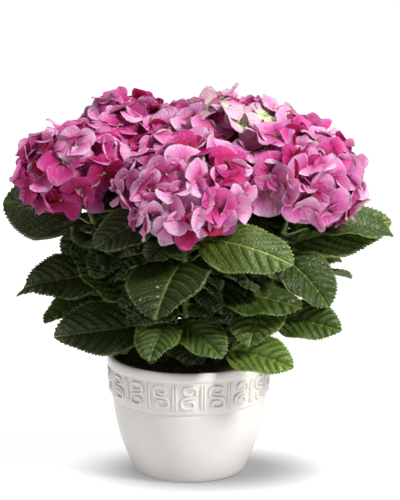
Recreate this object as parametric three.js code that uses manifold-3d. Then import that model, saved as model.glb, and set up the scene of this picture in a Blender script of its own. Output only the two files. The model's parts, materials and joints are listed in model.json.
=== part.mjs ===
// A mophead hydrangea in a round glazed pot.
//
// Eight canes rise from the soil. Each one is a chain of three solids: a woody cane, a leafy green
// shoot that stands on it, and a domed flower head that stands on the shoot. Millimetres, +Z up,
// front towards -Y, origin at the middle of the pot's flat underside.

import * as THREE from "three";
import { mergeVertices } from "three/addons/utils/BufferGeometryUtils.js";
import Module from "manifold-3d";

const wasm = await Module();
wasm.setup();

// ---------------------------------------------------------------- Driving dimensions

// The pot: a rounded body, a straight band above it, and a smooth lip. The belly is the point that
// pulls the body's curve outwards.
const POT_HEIGHT = 133;
const FOOT_RADIUS = 61;
const FOOT_ROUND = 3;
const BELLY = { radius: 82, height: 44 };
const WAIST_RADIUS = 85.2;
const BAND_BOTTOM = 86;
const BAND_STEP = 1.6;
const BAND_TOP = 123;
const BAND_TOP_RADIUS = 89.8;
const RIM_RADIUS = 91;
const LIP_ROUND = 3.5;
const WALL = 6.5;
const FLOOR = 8;
const POT_SIDES = 36;
const CURVE_STEPS = 3;

// The soil fills the pot to just under its lip.
const SOIL_LEVEL = 123;
const SOIL_EASE = 0.6;
const CLEARANCE = 0.3;

// Canes: they lean out of the middle of the pot and straighten towards their heads.
const FOOT_SPREAD = 0.22;
const HEAD_LEAN = 0.4;
const LEAN_REACH = 130;
const NECK_DROP = 0.8;
const BEND = 0.45;
const WOOD_END = 0.2;
const SHOOT_END = 0.93;
const NECK_OVERLAP = 0.01;
const RADIUS = { foot: 5.6, wood: 4.2, shoot: 3.8, neck: 2.7, crown: 2.4 };

// Each head is a dome: the middle, how far its florets reach sideways, and how far up.
const HEADS = {
  front: { at: [-6, -105, 342], across: 70, tall: 54 },
  left: { at: [-126, -25, 344], across: 58, tall: 53 },
  right: { at: [124, -36, 336], across: 66, tall: 58 },
  back_left: { at: [-67, 63, 366], across: 58, tall: 47 },
  top: { at: [52, 30, 373], across: 67, tall: 46 },
  back_right: { at: [112, 100, 334], across: 60, tall: 49 },
  back: { at: [2, 126, 324], across: 62, tall: 50 },
  low_left: { at: [-125, 98, 308], across: 58, tall: 50 },
};
const CORE = 0.78;
const CORE_SEGMENTS = [10, 6];
const FLORETS = 20;
const FLORET_RADIUS = 25;
const FLORET_SINK = 8;
const FLORET_NOTCH = 0.62;
const LOWEST_FLORET = 122;
const FLORET_TILT = 16;
const LOBES = 4;

// Leaves: broad ovals that narrow to a point, folded a little along the midrib.
const LEAF_STEPS = 5;
const MIDRIB_PIECES = 12;
const LEAF_BASE_POWER = 0.55;
const LEAF_TIP_POWER = 0.95;
const RIB_RADIUS = { root: 2, base: 1.4, tip: 0.9 };
const SAFE_GAP = 0.5;
const STALK_NEAR_STEM = 0.5;

// The leaves of the front, placed one by one: the cane they grow on, the height up it, the compass
// bearing and lift of the stalk, the blade's swing from that bearing, its length and breadth, its
// slope at the base and at the tip, its roll about the midrib, and its fold. Angles in degrees.
const LEAF_COLUMNS = [
  "cane", "up", "bearing", "lift", "stalk", "swing", "length", "broad", "rise", "fall", "roll", "fold",
];
const FRONT_LEAVES = [
  ["left", 0.86, 130, 8, 28, 28, 94, 0.84, 12, 0, -55, 12],
  ["back_left", 0.6, 185, 30, 45, 10, 72, 0.66, -15, -50, -35, 12],
  ["front", 0.88, -175, 38, 42, 25, 76, 0.64, -12, -28, -35, 0],
  ["left", 0.4, -82, 10, 34, -98, 86, 0.66, 34, 44, -25, 0],
  ["left", 0.55, -140, 6, 28, -10, 88, 0.64, 2, -5, -45, 12],
  ["left", 0.28, -90, -3, 35, -60, 104, 0.64, 1, 1, -45, 12],
  ["front", 0.66, -105, 35, 20, 0, 108, 0.84, -3, -36, 5, 12],
  ["front", 0.29, -125, 12, 38, 15, 60, 0.84, -15, -40, 0, 12],
  ["front", 0.32, -115, 5, 14, 65, 74, 0.7, -15, -28, 20, 12],
  ["front", 0.88, -40, 10, 22, 8, 116, 0.6, 5, -18, 30, -14],
  ["front", 0.48, 0, 10, 38, -30, 100, 0.62, 2, -10, 20, -8],
  ["right", 0.78, 45, 2, 26, -35, 114, 0.6, 13, 7, 45, 12],
  ["right", 0.65, -30, 30, 24, -5, 76, 0.8, -22, -55, 25, 12],
  ["right", 0.4, -60, 12, 42, -50, 70, 0.95, -8, -50, 0, 12],
  ["right", 0.3, -30, 8, 46, 0, 80, 0.66, 3, -10, 40, 12],
  ["top", 0.34, -85, 8, 28, 0, 64, 0.74, 0, -30, 0, 12],
  ["front", 0.32, -32, -28, 60, 0, 82, 0.62, 6, -16, 38, 12],
];

// The leaves of the back and sides grow by rule, in tiers up every cane and fanned about the way
// that the cane leans. A leaf that would touch anything is tried higher and lower, then left out.
const TIERS = [0.34, 0.52, 0.7, 0.87];
const INWARD = 180;
const FAN = [-62, 0, 62, INWARD];
const TIER_TURN = 34;
const FRONT_CANES = ["front", "left", "right"];
const RULE_LEAF = { stalk: 30, lift: 14, length: 90, broad: 0.66, rise: 8, fall: -24, fold: 12 };
const RULE_SPREAD = { bearing: 14, length: 12, roll: 22 };
const TRIES = [
  { scale: 1, droop: 0 },
  { scale: 1, droop: -16 },
  { scale: 0.85, droop: 14 },
  { scale: 0.7, droop: 0 },
  { scale: 0.7, droop: -25 },
];
const INWARD_SCALE = 0.8;
const SEED = 11;

// ---------------------------------------------------------------- Small tools

const UP = new THREE.Vector3(0, 0, 1);
const BACK = new THREE.Vector3(0, 1, 0);
const GOLDEN_ANGLE = Math.PI * (3 - Math.sqrt(5));
const radians = THREE.MathUtils.degToRad;
const mix = THREE.MathUtils.lerp;

// A repeatable number from 0 to 1 for one draw of one part of one mass.
function chance(mass, part, draw) {
  const mixed = Math.sin(mass * 12.9898 + part * 78.233 + draw * 37.719 + SEED) * 43758.5453;
  return mixed - Math.floor(mixed);
}

// A repeatable number from -1 to 1.
function sway(mass, part, draw) {
  return chance(mass, part, draw) * 2 - 1;
}

// Carries every vertex of a geometry to a new place.
function bend(geometry, place) {
  const points = geometry.getAttribute("position");
  for (let i = 0; i < points.count; i += 1) {
    const moved = place(points.getX(i), points.getY(i), points.getZ(i));
    points.setXYZ(i, moved.x, moved.y, moved.z);
  }
  return geometry;
}

// A geometry as a manifold solid: vertices welded, empty triangles dropped.
function solid(geometry) {
  const bare = geometry.clone();
  bare.deleteAttribute("normal");
  bare.deleteAttribute("uv");
  const welded = mergeVertices(bare, 1e-3);
  const corners = welded.index.array;
  const kept = [];
  for (let i = 0; i < corners.length; i += 3) {
    const [a, b, c] = [corners[i], corners[i + 1], corners[i + 2]];
    if (a !== b && b !== c && c !== a) {
      kept.push(a, b, c);
    }
  }
  return new wasm.Manifold(new wasm.Mesh({
    numProp: 3,
    vertProperties: new Float32Array(welded.getAttribute("position").array),
    triVerts: new Uint32Array(kept),
  }));
}

// A manifold solid as a named mesh with its own material.
function meshOf(name, body, look) {
  const shape = body.getMesh();
  const geometry = new THREE.BufferGeometry();
  geometry.setAttribute("position", new THREE.BufferAttribute(shape.vertProperties, 3));
  geometry.setIndex(new THREE.BufferAttribute(shape.triVerts, 1));
  const mesh = new THREE.Mesh(geometry, new THREE.MeshStandardMaterial(look));
  mesh.name = name;
  return mesh;
}

function touches(one, other) {
  return !one.intersect(other).isEmpty();
}

// A solid turned about the Z axis from its profile, given as a path of radius and height.
function turned(profile) {
  const lathe = new THREE.LatheGeometry(profile.getPoints(CURVE_STEPS), POT_SIDES);
  return solid(lathe.rotateX(Math.PI / 2));
}

// A round limb along a stretch of a curve, with its rings square to the curve. Its first ring lies
// level where it stands on the soil.
function limb(curve, [start, end], [startRadius, endRadius], sides, steps, standsLevel = false) {
  const tube = new THREE.CylinderGeometry(1, 1, 1, sides, steps).translate(0, 0.5, 0);
  return solid(bend(tube, (x, t, z) => {
    const u = mix(start, end, t);
    const along = standsLevel && t === 0 ? UP : curve.getTangent(u);
    const side = BACK.clone().cross(along).normalize();
    const over = side.clone().cross(along);
    const radius = mix(startRadius, endRadius, t);
    return curve.getPoint(u).addScaledVector(side, x * radius).addScaledVector(over, z * radius);
  }));
}

// ---------------------------------------------------------------- Pot and soil

function potProfile() {
  const outline = new THREE.Path();
  const mouth = RIM_RADIUS - WALL;
  outline.moveTo(0, 0);
  outline.lineTo(FOOT_RADIUS - FOOT_ROUND, 0);
  outline.quadraticCurveTo(FOOT_RADIUS, 0, FOOT_RADIUS + FOOT_ROUND / 2, FOOT_ROUND);
  outline.quadraticCurveTo(BELLY.radius, BELLY.height, WAIST_RADIUS, BAND_BOTTOM);
  outline.lineTo(WAIST_RADIUS + BAND_STEP, BAND_BOTTOM + BAND_STEP);
  outline.lineTo(BAND_TOP_RADIUS, BAND_TOP);
  outline.lineTo(RIM_RADIUS, POT_HEIGHT - 2 * LIP_ROUND);
  outline.lineTo(RIM_RADIUS, POT_HEIGHT - LIP_ROUND);
  outline.quadraticCurveTo(RIM_RADIUS, POT_HEIGHT, RIM_RADIUS - LIP_ROUND, POT_HEIGHT);
  outline.quadraticCurveTo(mouth, POT_HEIGHT, mouth, POT_HEIGHT - LIP_ROUND);
  outline.lineTo(WAIST_RADIUS - WALL, BAND_BOTTOM);
  outline.quadraticCurveTo(BELLY.radius - WALL, BELLY.height, FOOT_RADIUS - WALL, FLOOR);
  outline.lineTo(0, FLOOR);
  return outline;
}

// The pot's inside, drawn in by the clearance and cut level at the top.
function soilProfile() {
  const outline = new THREE.Path();
  const inset = WALL + SOIL_EASE;
  const lowInset = inset + SOIL_EASE + CLEARANCE;
  const climb = (SOIL_LEVEL - BAND_BOTTOM) / (POT_HEIGHT - LIP_ROUND - BAND_BOTTOM);
  outline.moveTo(0, FLOOR + CLEARANCE);
  outline.lineTo(FOOT_RADIUS - lowInset, FLOOR + CLEARANCE);
  outline.quadraticCurveTo(
    BELLY.radius - lowInset, BELLY.height, WAIST_RADIUS - inset, BAND_BOTTOM,
  );
  outline.lineTo(mix(WAIST_RADIUS, RIM_RADIUS, climb) - inset, SOIL_LEVEL);
  outline.lineTo(0, SOIL_LEVEL);
  return outline;
}

// ---------------------------------------------------------------- Canes and shoots

function headAxis(head) {
  const outward = new THREE.Vector3(head.at[0], head.at[1], 0);
  return outward.multiplyScalar(HEAD_LEAN / LEAN_REACH).add(UP).normalize();
}

function caneCurve(head) {
  const middle = new THREE.Vector3(...head.at);
  const axis = headAxis(head);
  const foot = new THREE.Vector3(
    middle.x * FOOT_SPREAD, middle.y * FOOT_SPREAD, SOIL_LEVEL + CLEARANCE,
  );
  const neck = middle.clone().addScaledVector(axis, -NECK_DROP * head.tall);
  const knee = neck.clone().addScaledVector(axis, -BEND * neck.distanceTo(foot));
  return new THREE.QuadraticBezierCurve3(foot, knee, neck);
}

// The stretch of the cane's curve that the clearance between two solids takes up.
function gapOn(curve) {
  return CLEARANCE / curve.getLength();
}

function woodyCane(curve) {
  return limb(curve, [0, WOOD_END], [RADIUS.foot, RADIUS.wood], 8, 3, true);
}

function greenShoot(curve) {
  const start = WOOD_END + gapOn(curve);
  return limb(curve, [start, SHOOT_END], [RADIUS.shoot, RADIUS.neck], 6, 6);
}

// ---------------------------------------------------------------- Leaves

function direction(bearing, lift) {
  const level = Math.cos(radians(lift));
  return new THREE.Vector3(
    level * Math.cos(radians(bearing)), level * Math.sin(radians(bearing)), Math.sin(radians(lift)),
  );
}

// The blade's half width along its midrib, as a share of the widest.
function leafShape(t) {
  const widest = LEAF_BASE_POWER / (LEAF_BASE_POWER + LEAF_TIP_POWER);
  const peak = widest ** LEAF_BASE_POWER * (1 - widest) ** LEAF_TIP_POWER;
  return t ** LEAF_BASE_POWER * (1 - t) ** LEAF_TIP_POWER / peak;
}

// Where the midrib has got to at t, with the blade's sideways and upward directions there.
function midrib(leaf, base, t) {
  const slope = (share) => mix(leaf.rise, leaf.fall, share);
  const bearing = leaf.bearing + leaf.swing;
  const point = base.clone();
  for (let i = 0; i < MIDRIB_PIECES; i += 1) {
    const share = t * (i + 0.5) / MIDRIB_PIECES;
    point.addScaledVector(direction(bearing, slope(share)), t * leaf.length / MIDRIB_PIECES);
  }
  const along = direction(bearing, slope(t));
  const level = direction(bearing + 90, 0);
  const above = along.clone().cross(level);
  const roll = radians(leaf.roll);
  const side = level.multiplyScalar(Math.cos(roll)).addScaledVector(above, Math.sin(roll));
  return { point, along, side, over: along.clone().cross(side) };
}

// A direction turned as little as possible to stand square to another.
function squared(side, along) {
  return side.clone().addScaledVector(along, -side.dot(along)).normalize();
}

// The leaf's rings, from the stalk's root over the bend at the blade's base to the tip. The share
// of the stalk that is skipped is left off at its root.
function leafRing(leaf, curve, step, skipped) {
  const root = curve.getPoint(leaf.up);
  const outward = direction(leaf.bearing, leaf.lift);
  const base = root.clone().addScaledVector(outward, leaf.stalk);
  const t = (1 - Math.cos(Math.PI * Math.max(step - 1, 0) / LEAF_STEPS)) / 2;
  const ring = midrib(leaf, base, t);
  if (step > 1) {
    return { ...ring, t };
  }
  const halfway = outward.clone().add(ring.along).normalize();
  const bendSide = squared(ring.side, halfway);
  if (step === 1) {
    return { point: base, side: bendSide, over: halfway.cross(bendSide), t };
  }
  const side = squared(bendSide, outward);
  return { point: root.lerp(base, skipped), side, over: outward.cross(side), t };
}

// A leaf is one four-sided bar: a stalk, then the blade, whose corners are its two edges, the
// midrib's top and its underside. A margin makes the whole bar fatter.
function leafSolid(leaf, curve, { margin = 0, skipped = 0 } = {}) {
  const steps = LEAF_STEPS + 1;
  const lift = Math.tan(radians(leaf.fold));
  const rings = Array.from({ length: steps + 1 }, (_, step) => leafRing(leaf, curve, step, skipped));
  const bar = new THREE.CylinderGeometry(1, 1, 1, 4, steps).translate(0, 0.5, 0);
  return solid(bend(bar, (x, y, z) => {
    const step = Math.round(y * steps);
    const { point, side, over, t } = rings[step];
    const rib = margin + (step === 0 ? RIB_RADIUS.root : mix(RIB_RADIUS.base, RIB_RADIUS.tip, t));
    const half = Math.max(leafShape(t) * leaf.length * leaf.broad / 2 + margin, rib);
    const fold = Math.abs(x) * (half - rib) * lift;
    return point.clone().addScaledVector(side, x * half).addScaledVector(over, fold - z * rib);
  }));
}

function frontLeaf(row) {
  return Object.fromEntries(LEAF_COLUMNS.map((column, i) => [column, row[i]]));
}

// One leaf of the rule, or null where a front cane's leaf would face the front.
function ruleLeaf(cane, mass, tier, branch) {
  const [x, y] = HEADS[cane].at;
  const part = tier * FAN.length + branch;
  const outward = THREE.MathUtils.radToDeg(Math.atan2(y, x));
  const turn = tier % 2 === 0 ? 0 : TIER_TURN;
  const bearing = outward + FAN[branch] + turn + RULE_SPREAD.bearing * sway(mass, part, 1);
  if (FRONT_CANES.includes(cane) && Math.sin(radians(bearing)) < 0) {
    return null;
  }
  const size = FAN[branch] === INWARD ? INWARD_SCALE : 1;
  return {
    ...RULE_LEAF,
    cane,
    bearing,
    up: TIERS[tier],
    swing: 0,
    length: size * (RULE_LEAF.length + RULE_SPREAD.length * sway(mass, part, 2)),
    roll: RULE_SPREAD.roll * sway(mass, part, 3),
  };
}

// ---------------------------------------------------------------- Flower heads

// The head's own directions: two across it and its axis.
function headFrame(head) {
  const axis = headAxis(head);
  const first = BACK.clone().cross(axis).normalize();
  return [first, axis.clone().cross(first), axis];
}

// The head's stem with a small core at its end that the florets stand out of.
function headCore(head, curve) {
  const [first, second, axis] = headFrame(head);
  const middle = new THREE.Vector3(...head.at);
  const ball = new THREE.SphereGeometry(1, ...CORE_SEGMENTS);
  const core = solid(bend(ball, (x, y, z) => middle.clone()
    .addScaledVector(first, x * CORE * head.across)
    .addScaledVector(axis, y * CORE * head.tall)
    .addScaledVector(second, -z * CORE * head.across)));
  const start = SHOOT_END + gapOn(curve);
  const tail = limb(curve, [start, 1], [RADIUS.neck, RADIUS.crown], 6, 1);
  const rise = new THREE.LineCurve3(curve.getPoint(1 - NECK_OVERLAP), middle);
  return core.add(tail).add(limb(rise, [0, 1], [RADIUS.crown, RADIUS.crown], 6, 1));
}

// Where a floret sits on its head's dome, and its own directions there. Florets are spread evenly
// by the golden angle, from the top down past the widest girth, each a little tilted.
function floretPlace(head, mass, number) {
  const [first, second, axis] = headFrame(head);
  const height = mix(1, Math.cos(radians(LOWEST_FLORET)), (number + 0.5) / FLORETS);
  const level = Math.sqrt(1 - height * height);
  const round = number * GOLDEN_ANGLE + mass;
  const [u, v] = [level * Math.cos(round), level * Math.sin(round)];
  const onDome = (start, across, tall) => start
    .addScaledVector(first, u * across)
    .addScaledVector(second, v * across)
    .addScaledVector(axis, height * tall);
  const spot = onDome(new THREE.Vector3(...head.at), head.across, head.tall);
  const facing = onDome(new THREE.Vector3(), 1 / head.across, 1 / head.tall).normalize();
  const tilt = Math.sin(radians(FLORET_TILT));
  facing.addScaledVector(first, tilt * sway(mass, number, 1));
  facing.addScaledVector(second, tilt * sway(mass, number, 2)).normalize();
  const side = squared(BACK, facing);
  return { spot, facing, side, over: side.clone().cross(facing) };
}

// A floret: a funnel with a lobed rim, whose point is sunk in the core.
function floret(head, mass, number, margin = 0) {
  const { spot, facing, side, over } = floretPlace(head, mass, number);
  const spin = Math.PI * chance(mass, number, 3);
  const depth = (1 - CORE) * head.across + FLORET_SINK + 3 * margin;
  const cone = new THREE.ConeGeometry(1, 1, 2 * LOBES, 1).rotateX(Math.PI).translate(0, -0.5, 0);
  return solid(bend(cone, (x, y, z) => {
    const angle = Math.atan2(z, x);
    const lobe = mix(FLORET_NOTCH, 1, Math.abs(Math.cos(angle * LOBES / 2)));
    const reach = Math.hypot(x, z) * (FLORET_RADIUS * lobe + margin);
    return spot.clone()
      .addScaledVector(side, reach * Math.cos(angle + spin))
      .addScaledVector(over, reach * Math.sin(angle + spin))
      .addScaledVector(facing, y * depth + margin);
  }));
}

// ---------------------------------------------------------------- The plant

const canes = Object.keys(HEADS);
const perCane = (make) => Object.fromEntries(canes.map((cane) => [cane, make(cane)]));
const curves = perCane((cane) => caneCurve(HEADS[cane]));
const woods = perCane((cane) => woodyCane(curves[cane]));
const shoots = perCane((cane) => greenShoot(curves[cane]));
const heads = perCane((cane) => headCore(HEADS[cane], curves[cane]));
const pot = turned(potProfile());
const soil = turned(soilProfile());

// The solids of one kind that belong to all the other canes.
function othersOf(kind, cane) {
  return canes.filter((other) => other !== cane).map((other) => kind[other]);
}

// Adds a leaf to its shoot unless it touches the pot, a cane, a head or another leaf. The half of
// its stalk that is nearest to the shoot may touch its own mass.
function growLeaf(leaf) {
  const curve = curves[leaf.cane];
  const whole = leafSolid(leaf, curve, { margin: SAFE_GAP });
  const outer = leafSolid(leaf, curve, { margin: SAFE_GAP, skipped: STALK_NEAR_STEM });
  const fixed = [pot, soil, ...Object.values(woods), ...Object.values(heads)];
  const obstacles = [...fixed, ...othersOf(shoots, leaf.cane)];
  if (obstacles.some((obstacle) => touches(whole, obstacle)) || touches(outer, shoots[leaf.cane])) {
    return false;
  }
  shoots[leaf.cane] = shoots[leaf.cane].add(leafSolid(leaf, curve));
  return true;
}

// Adds a head's florets, leaving out those that touch another head or a leaf.
function growFlorets(cane, mass) {
  for (let number = 0; number < FLORETS; number += 1) {
    const wide = floret(HEADS[cane], mass, number, SAFE_GAP);
    const obstacles = [...othersOf(heads, cane), ...Object.values(shoots)];
    if (!obstacles.some((obstacle) => touches(wide, obstacle))) {
      heads[cane] = heads[cane].add(floret(HEADS[cane], mass, number));
    }
  }
}

// Grows the leaves of the rule on one cane, each at the first try that is clear.
function growRuleLeaves(cane, mass) {
  for (let tier = 0; tier < TIERS.length; tier += 1) {
    for (let branch = 0; branch < FAN.length; branch += 1) {
      const leaf = ruleLeaf(cane, mass, tier, branch);
      const fits = ({ scale, droop }) => growLeaf({
        ...leaf, length: leaf.length * scale, rise: leaf.rise + droop,
      });
      if (leaf) {
        TRIES.some(fits);
      }
    }
  }
}

FRONT_LEAVES.map(frontLeaf).forEach(growLeaf);
canes.forEach(growFlorets);
canes.forEach(growRuleLeaves);

// ---------------------------------------------------------------- The scene graph

const LOOKS = {
  pot: { color: 0xf1ece8, roughness: 0.35, metalness: 0 },
  soil: { color: 0x1c160f, roughness: 1, metalness: 0 },
  cane: { color: 0x7a6a4a, roughness: 0.85, metalness: 0 },
  leaves: { color: 0x35451f, roughness: 0.5, metalness: 0 },
  flower_head: { color: 0xc8468c, roughness: 0.65, metalness: 0 },
};

const plant = new THREE.Group();
plant.add(meshOf("pot", pot, LOOKS.pot));
plant.add(meshOf("soil", soil, LOOKS.soil));
for (const cane of canes) {
  plant.add(meshOf(`cane_${cane}`, woods[cane], LOOKS.cane));
  plant.add(meshOf(`leaves_${cane}`, shoots[cane], LOOKS.leaves));
  plant.add(meshOf(`flower_head_${cane}`, heads[cane], LOOKS.flower_head));
}

export default plant;
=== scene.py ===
# %% [markdown]
# # A mophead hydrangea in a glazed pot
#
# A florist's hydrangea is a handful of woody canes that rise from the soil of a pot. Every cane
# ends in a green shoot with broad, toothed leaves, and every shoot ends in a dome of florets.
# The solid model holds the pot, the soil and, for every cane, one solid for its wood, one for
# its leafy shoot and one for its flower head. This lesson dresses those solids: each of them is
# replaced by the finer thing that it stands for, grown by the same rule and to the same reach.

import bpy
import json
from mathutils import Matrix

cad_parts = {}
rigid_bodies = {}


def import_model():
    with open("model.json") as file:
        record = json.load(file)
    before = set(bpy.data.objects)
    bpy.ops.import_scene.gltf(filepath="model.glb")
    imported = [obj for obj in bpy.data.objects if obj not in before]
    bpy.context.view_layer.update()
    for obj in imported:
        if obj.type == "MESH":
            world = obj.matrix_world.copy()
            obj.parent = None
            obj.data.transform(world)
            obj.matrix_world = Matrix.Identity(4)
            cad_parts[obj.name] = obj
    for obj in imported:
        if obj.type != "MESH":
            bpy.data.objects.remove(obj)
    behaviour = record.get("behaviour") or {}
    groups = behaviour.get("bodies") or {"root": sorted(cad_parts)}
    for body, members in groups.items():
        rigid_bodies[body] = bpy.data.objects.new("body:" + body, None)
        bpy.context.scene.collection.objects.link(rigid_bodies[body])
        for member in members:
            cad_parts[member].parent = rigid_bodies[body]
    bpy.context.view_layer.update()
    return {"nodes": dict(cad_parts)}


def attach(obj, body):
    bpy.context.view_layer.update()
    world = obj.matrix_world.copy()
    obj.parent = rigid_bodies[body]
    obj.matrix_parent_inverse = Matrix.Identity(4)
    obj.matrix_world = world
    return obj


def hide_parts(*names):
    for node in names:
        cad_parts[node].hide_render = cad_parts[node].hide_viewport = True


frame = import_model()

# %% [markdown]
# ## Tools for meshes
#
# Thousands of small shapes make up a plant, and one Blender object for each would be slow. It is
# better to gather the points and faces of many shapes with numpy and to make one mesh of them.
# Two shapes do nearly all the work: a closed thin sheet, for leaves and sepals, and a closed
# round limb, for stalks and canes.

# %% Gathering many shapes into one mesh
import json
import math
from collections import namedtuple

import bpy
import numpy as np
from mathutils import Vector, noise

MM = 0.001
SHARP = 62
SEED = 11
ASKEW = (0, 1, 0.31)  # a direction that no limb starts along


def show(name, mesh):
    """Links a mesh to the scene as an object that sits at the origin."""
    made = bpy.data.objects.new(name, mesh)
    bpy.context.scene.collection.objects.link(made)
    return made


class Heap:
    """Points, faces, UV spots and finish numbers, heaped up for one mesh."""

    def __init__(self):
        self.points = []
        self.spots = []
        self.faces = []
        self.finishes = []
        self.count = 0

    def add(self, points, parts, spots=None):
        """Adds points and parts, which are pairs of a face array and its finish number."""
        points = np.reshape(points, (-1, 3))
        self.points.append(points)
        self.spots.append(np.zeros((len(points), 2)) if spots is None else np.reshape(spots, (-1, 2)))
        for faces, finish in parts:
            self.faces.extend((np.asarray(faces) + self.count).tolist())
            self.finishes.extend([finish] * len(faces))
        self.count += len(points)

    def mesh(self, name, finishes):
        """The mesh of everything heaped up, smooth but for its sharp edges."""
        mesh = bpy.data.meshes.new(name)
        mesh.from_pydata(np.concatenate(self.points).tolist(), [], self.faces)
        corners = np.empty(len(mesh.loops), np.int32)
        mesh.loops.foreach_get("vertex_index", corners)
        layer = mesh.uv_layers.new(name="UVMap")
        layer.data.foreach_set("uv", np.concatenate(self.spots)[corners].astype(np.float32).ravel())
        for finish in finishes:
            mesh.materials.append(finish)
        mesh.polygons.foreach_set("material_index", self.finishes)
        mesh.shade_smooth()
        mesh.set_sharp_from_angle(angle=math.radians(SHARP))
        mesh.update()
        return mesh


def unit(vectors):
    """Vectors at length 1."""
    return vectors / np.linalg.norm(vectors, axis=-1, keepdims=True)


def mix(start, end, share):
    return start + (end - start) * share


def quads(numbers):
    """The four-sided faces of a grid of point numbers, facing along rows cross columns."""
    corners = [numbers[:-1, :-1], numbers[1:, :-1], numbers[1:, 1:], numbers[:-1, 1:]]
    return np.stack(corners, -1).reshape(-1, 4)


def sheet(grid, spots, thickness, upper=0, lower=0):
    """A closed sheet under a grid of points, thin at its edge, with a finish for each side."""
    rows, columns = grid.shape[:2]
    normal = unit(np.cross(np.gradient(grid, axis=0), np.gradient(grid, axis=1)))
    top = np.arange(rows * columns).reshape(rows, columns)
    low = top.copy()
    inner = np.arange((rows - 2) * (columns - 2)).reshape(rows - 2, columns - 2)
    low[1:-1, 1:-1] = rows * columns + inner
    under = (grid - normal * thickness)[1:-1, 1:-1]
    points = np.concatenate([grid.reshape(-1, 3), under.reshape(-1, 3)])
    spots = np.concatenate([spots.reshape(-1, 2), spots[1:-1, 1:-1].reshape(-1, 2)])
    return points, [(quads(top), upper), (quads(low)[:, ::-1], lower)], spots


def tube(rings, first, last):
    """A closed tube through rings of points, and the points that close its two ends."""
    count, sides = rings.shape[:2]
    points = np.concatenate([rings.reshape(-1, 3), [first, last]])
    numbers = np.arange(count * sides).reshape(count, sides)
    closed = np.concatenate([numbers, numbers[:, :1]], axis=1)
    low, high = len(points) - 2, len(points) - 1
    caps = [[low, b, a] for a, b in zip(closed[0], closed[0][1:])]
    caps += [[high, a, b] for a, b in zip(closed[-1], closed[-1][1:])]
    return points, [(quads(closed)[:, ::-1], 0), (caps, 0)]


def limb(path, radii, sides):
    """A closed round limb along a path, and the UV spots round and along it."""
    path = np.asarray(path, float)
    radii = np.asarray(radii, float).reshape(len(path), -1)
    along = unit(np.gradient(path, axis=0))
    side = np.cross(along[0], ASKEW)
    turn = 2 * np.pi * np.arange(sides) / sides
    rings = []
    for here, forward, radius in zip(path, along, radii):
        side = unit(side - forward * (side @ forward))
        over = np.cross(forward, side)
        ring = np.outer(np.cos(turn), side) + np.outer(np.sin(turn), over)
        rings.append(here + ring * radius[:, None])
    run = np.concatenate([[0], np.cumsum(np.linalg.norm(np.diff(path, axis=0), axis=1))])
    spots = np.stack(np.meshgrid(turn / (2 * np.pi), run), -1).reshape(-1, 2)
    spots = np.concatenate([spots, [[0.5, run[0]], [0.5, run[-1]]]])
    return *tube(np.array(rings), path[0], path[-1]), spots


def line_mesh(name, lines):
    """A mesh of bare lines, each of them given as its points."""
    points, edges = [], []
    for line in lines:
        edges += [(len(points) + i, len(points) + i + 1) for i in range(len(line) - 1)]
        points += [tuple(point) for point in line]
    mesh = bpy.data.meshes.new(name)
    mesh.from_pydata(points, edges, [])
    return mesh


print("tools ready")

# %% [markdown]
# ## Tools for node trees
#
# Materials and Geometry Nodes are both node trees. Written out link by link they are hard to
# read, so a small class wraps one socket and gives it Python's operators: a sum of two sockets
# adds a Math node. Every other node comes from one method, which takes the node's type, its
# settings and what goes into its sockets.

# %% One socket with Python's operators
def operator(operation):
    """A method that adds a Math node to its own socket and what stands after the operator."""
    return lambda tap, *others: tap.math(operation, tap, *others)


def spaced(sockets):
    """Sockets by their real names. Underscores in keywords stand for spaces."""
    return {name.replace("_", " "): value for name, value in sockets.items()}


class Tap:
    """One output socket of a node tree, or the tree alone."""

    def __init__(self, tree, socket=None):
        self.tree = tree
        self.socket = socket

    def add(self, kind, settings=None, sockets=None, out=0):
        """Adds a node: its settings first, then the values or links of its sockets."""
        node = self.tree.nodes.new(kind)
        for name, value in (settings or {}).items():
            setattr(node, name, value)
        for name, value in (sockets or {}).items():
            if isinstance(value, Tap):
                self.tree.links.new(value.socket, node.inputs[name])
            else:
                node.inputs[name].default_value = value
        return Tap(self.tree, node.outputs[out] if node.outputs else None)

    def out(self, name):
        """Another output of the same node."""
        return Tap(self.tree, self.socket.node.outputs[name])

    def math(self, operation, *values):
        return self.add("ShaderNodeMath", {"operation": operation}, dict(enumerate(values)))

    def geo(self, kind, **sockets):
        """Adds a node of Geometry Nodes by its short name."""
        return self.add("GeometryNode" + kind, sockets=spaced(sockets))

    def __rsub__(self, other):
        return self.math("SUBTRACT", other, self)

    __add__ = __radd__ = operator("ADD")
    __sub__ = operator("SUBTRACT")
    __mul__ = __rmul__ = operator("MULTIPLY")
    __truediv__ = operator("DIVIDE")
    __pow__ = operator("POWER")
    __mod__ = operator("FLOORED_MODULO")
    __abs__ = operator("ABSOLUTE")


def ramp(value, low, high, start=0.0, end=1.0):
    """A value eased from start to end while it goes from low to high."""
    sockets = {"Value": value, 1: low, 2: high, 3: start, 4: end}
    return value.add("ShaderNodeMapRange", {"interpolation_type": "SMOOTHSTEP"}, sockets)


def tinted(share, first, second):
    """Two colours mixed by a share."""
    return share.add("ShaderNodeMix", {"data_type": "RGBA"}, {0: share, 6: first, 7: second}, out=2)


def rgb(red, green, blue):
    return (red, green, blue, 1.0)


def grey(level):
    return rgb(level, level, level)


def new_finish(name):
    """An empty material and the tap that starts its tree."""
    made = bpy.data.materials.new(name)
    made.use_nodes = True
    made.node_tree.nodes.clear()
    return made, Tap(made.node_tree)


def close_finish(tree, **sockets):
    """Ends a material's tree with its shader."""
    shader = tree.add("ShaderNodeBsdfPrincipled", sockets=spaced(sockets))
    tree.add("ShaderNodeOutputMaterial", sockets={"Surface": shader})


def bumped(height, distance):
    """A normal that a height in metres of one unit bends."""
    return height.add("ShaderNodeBump", sockets={"Height": height, "Distance": distance})


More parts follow.
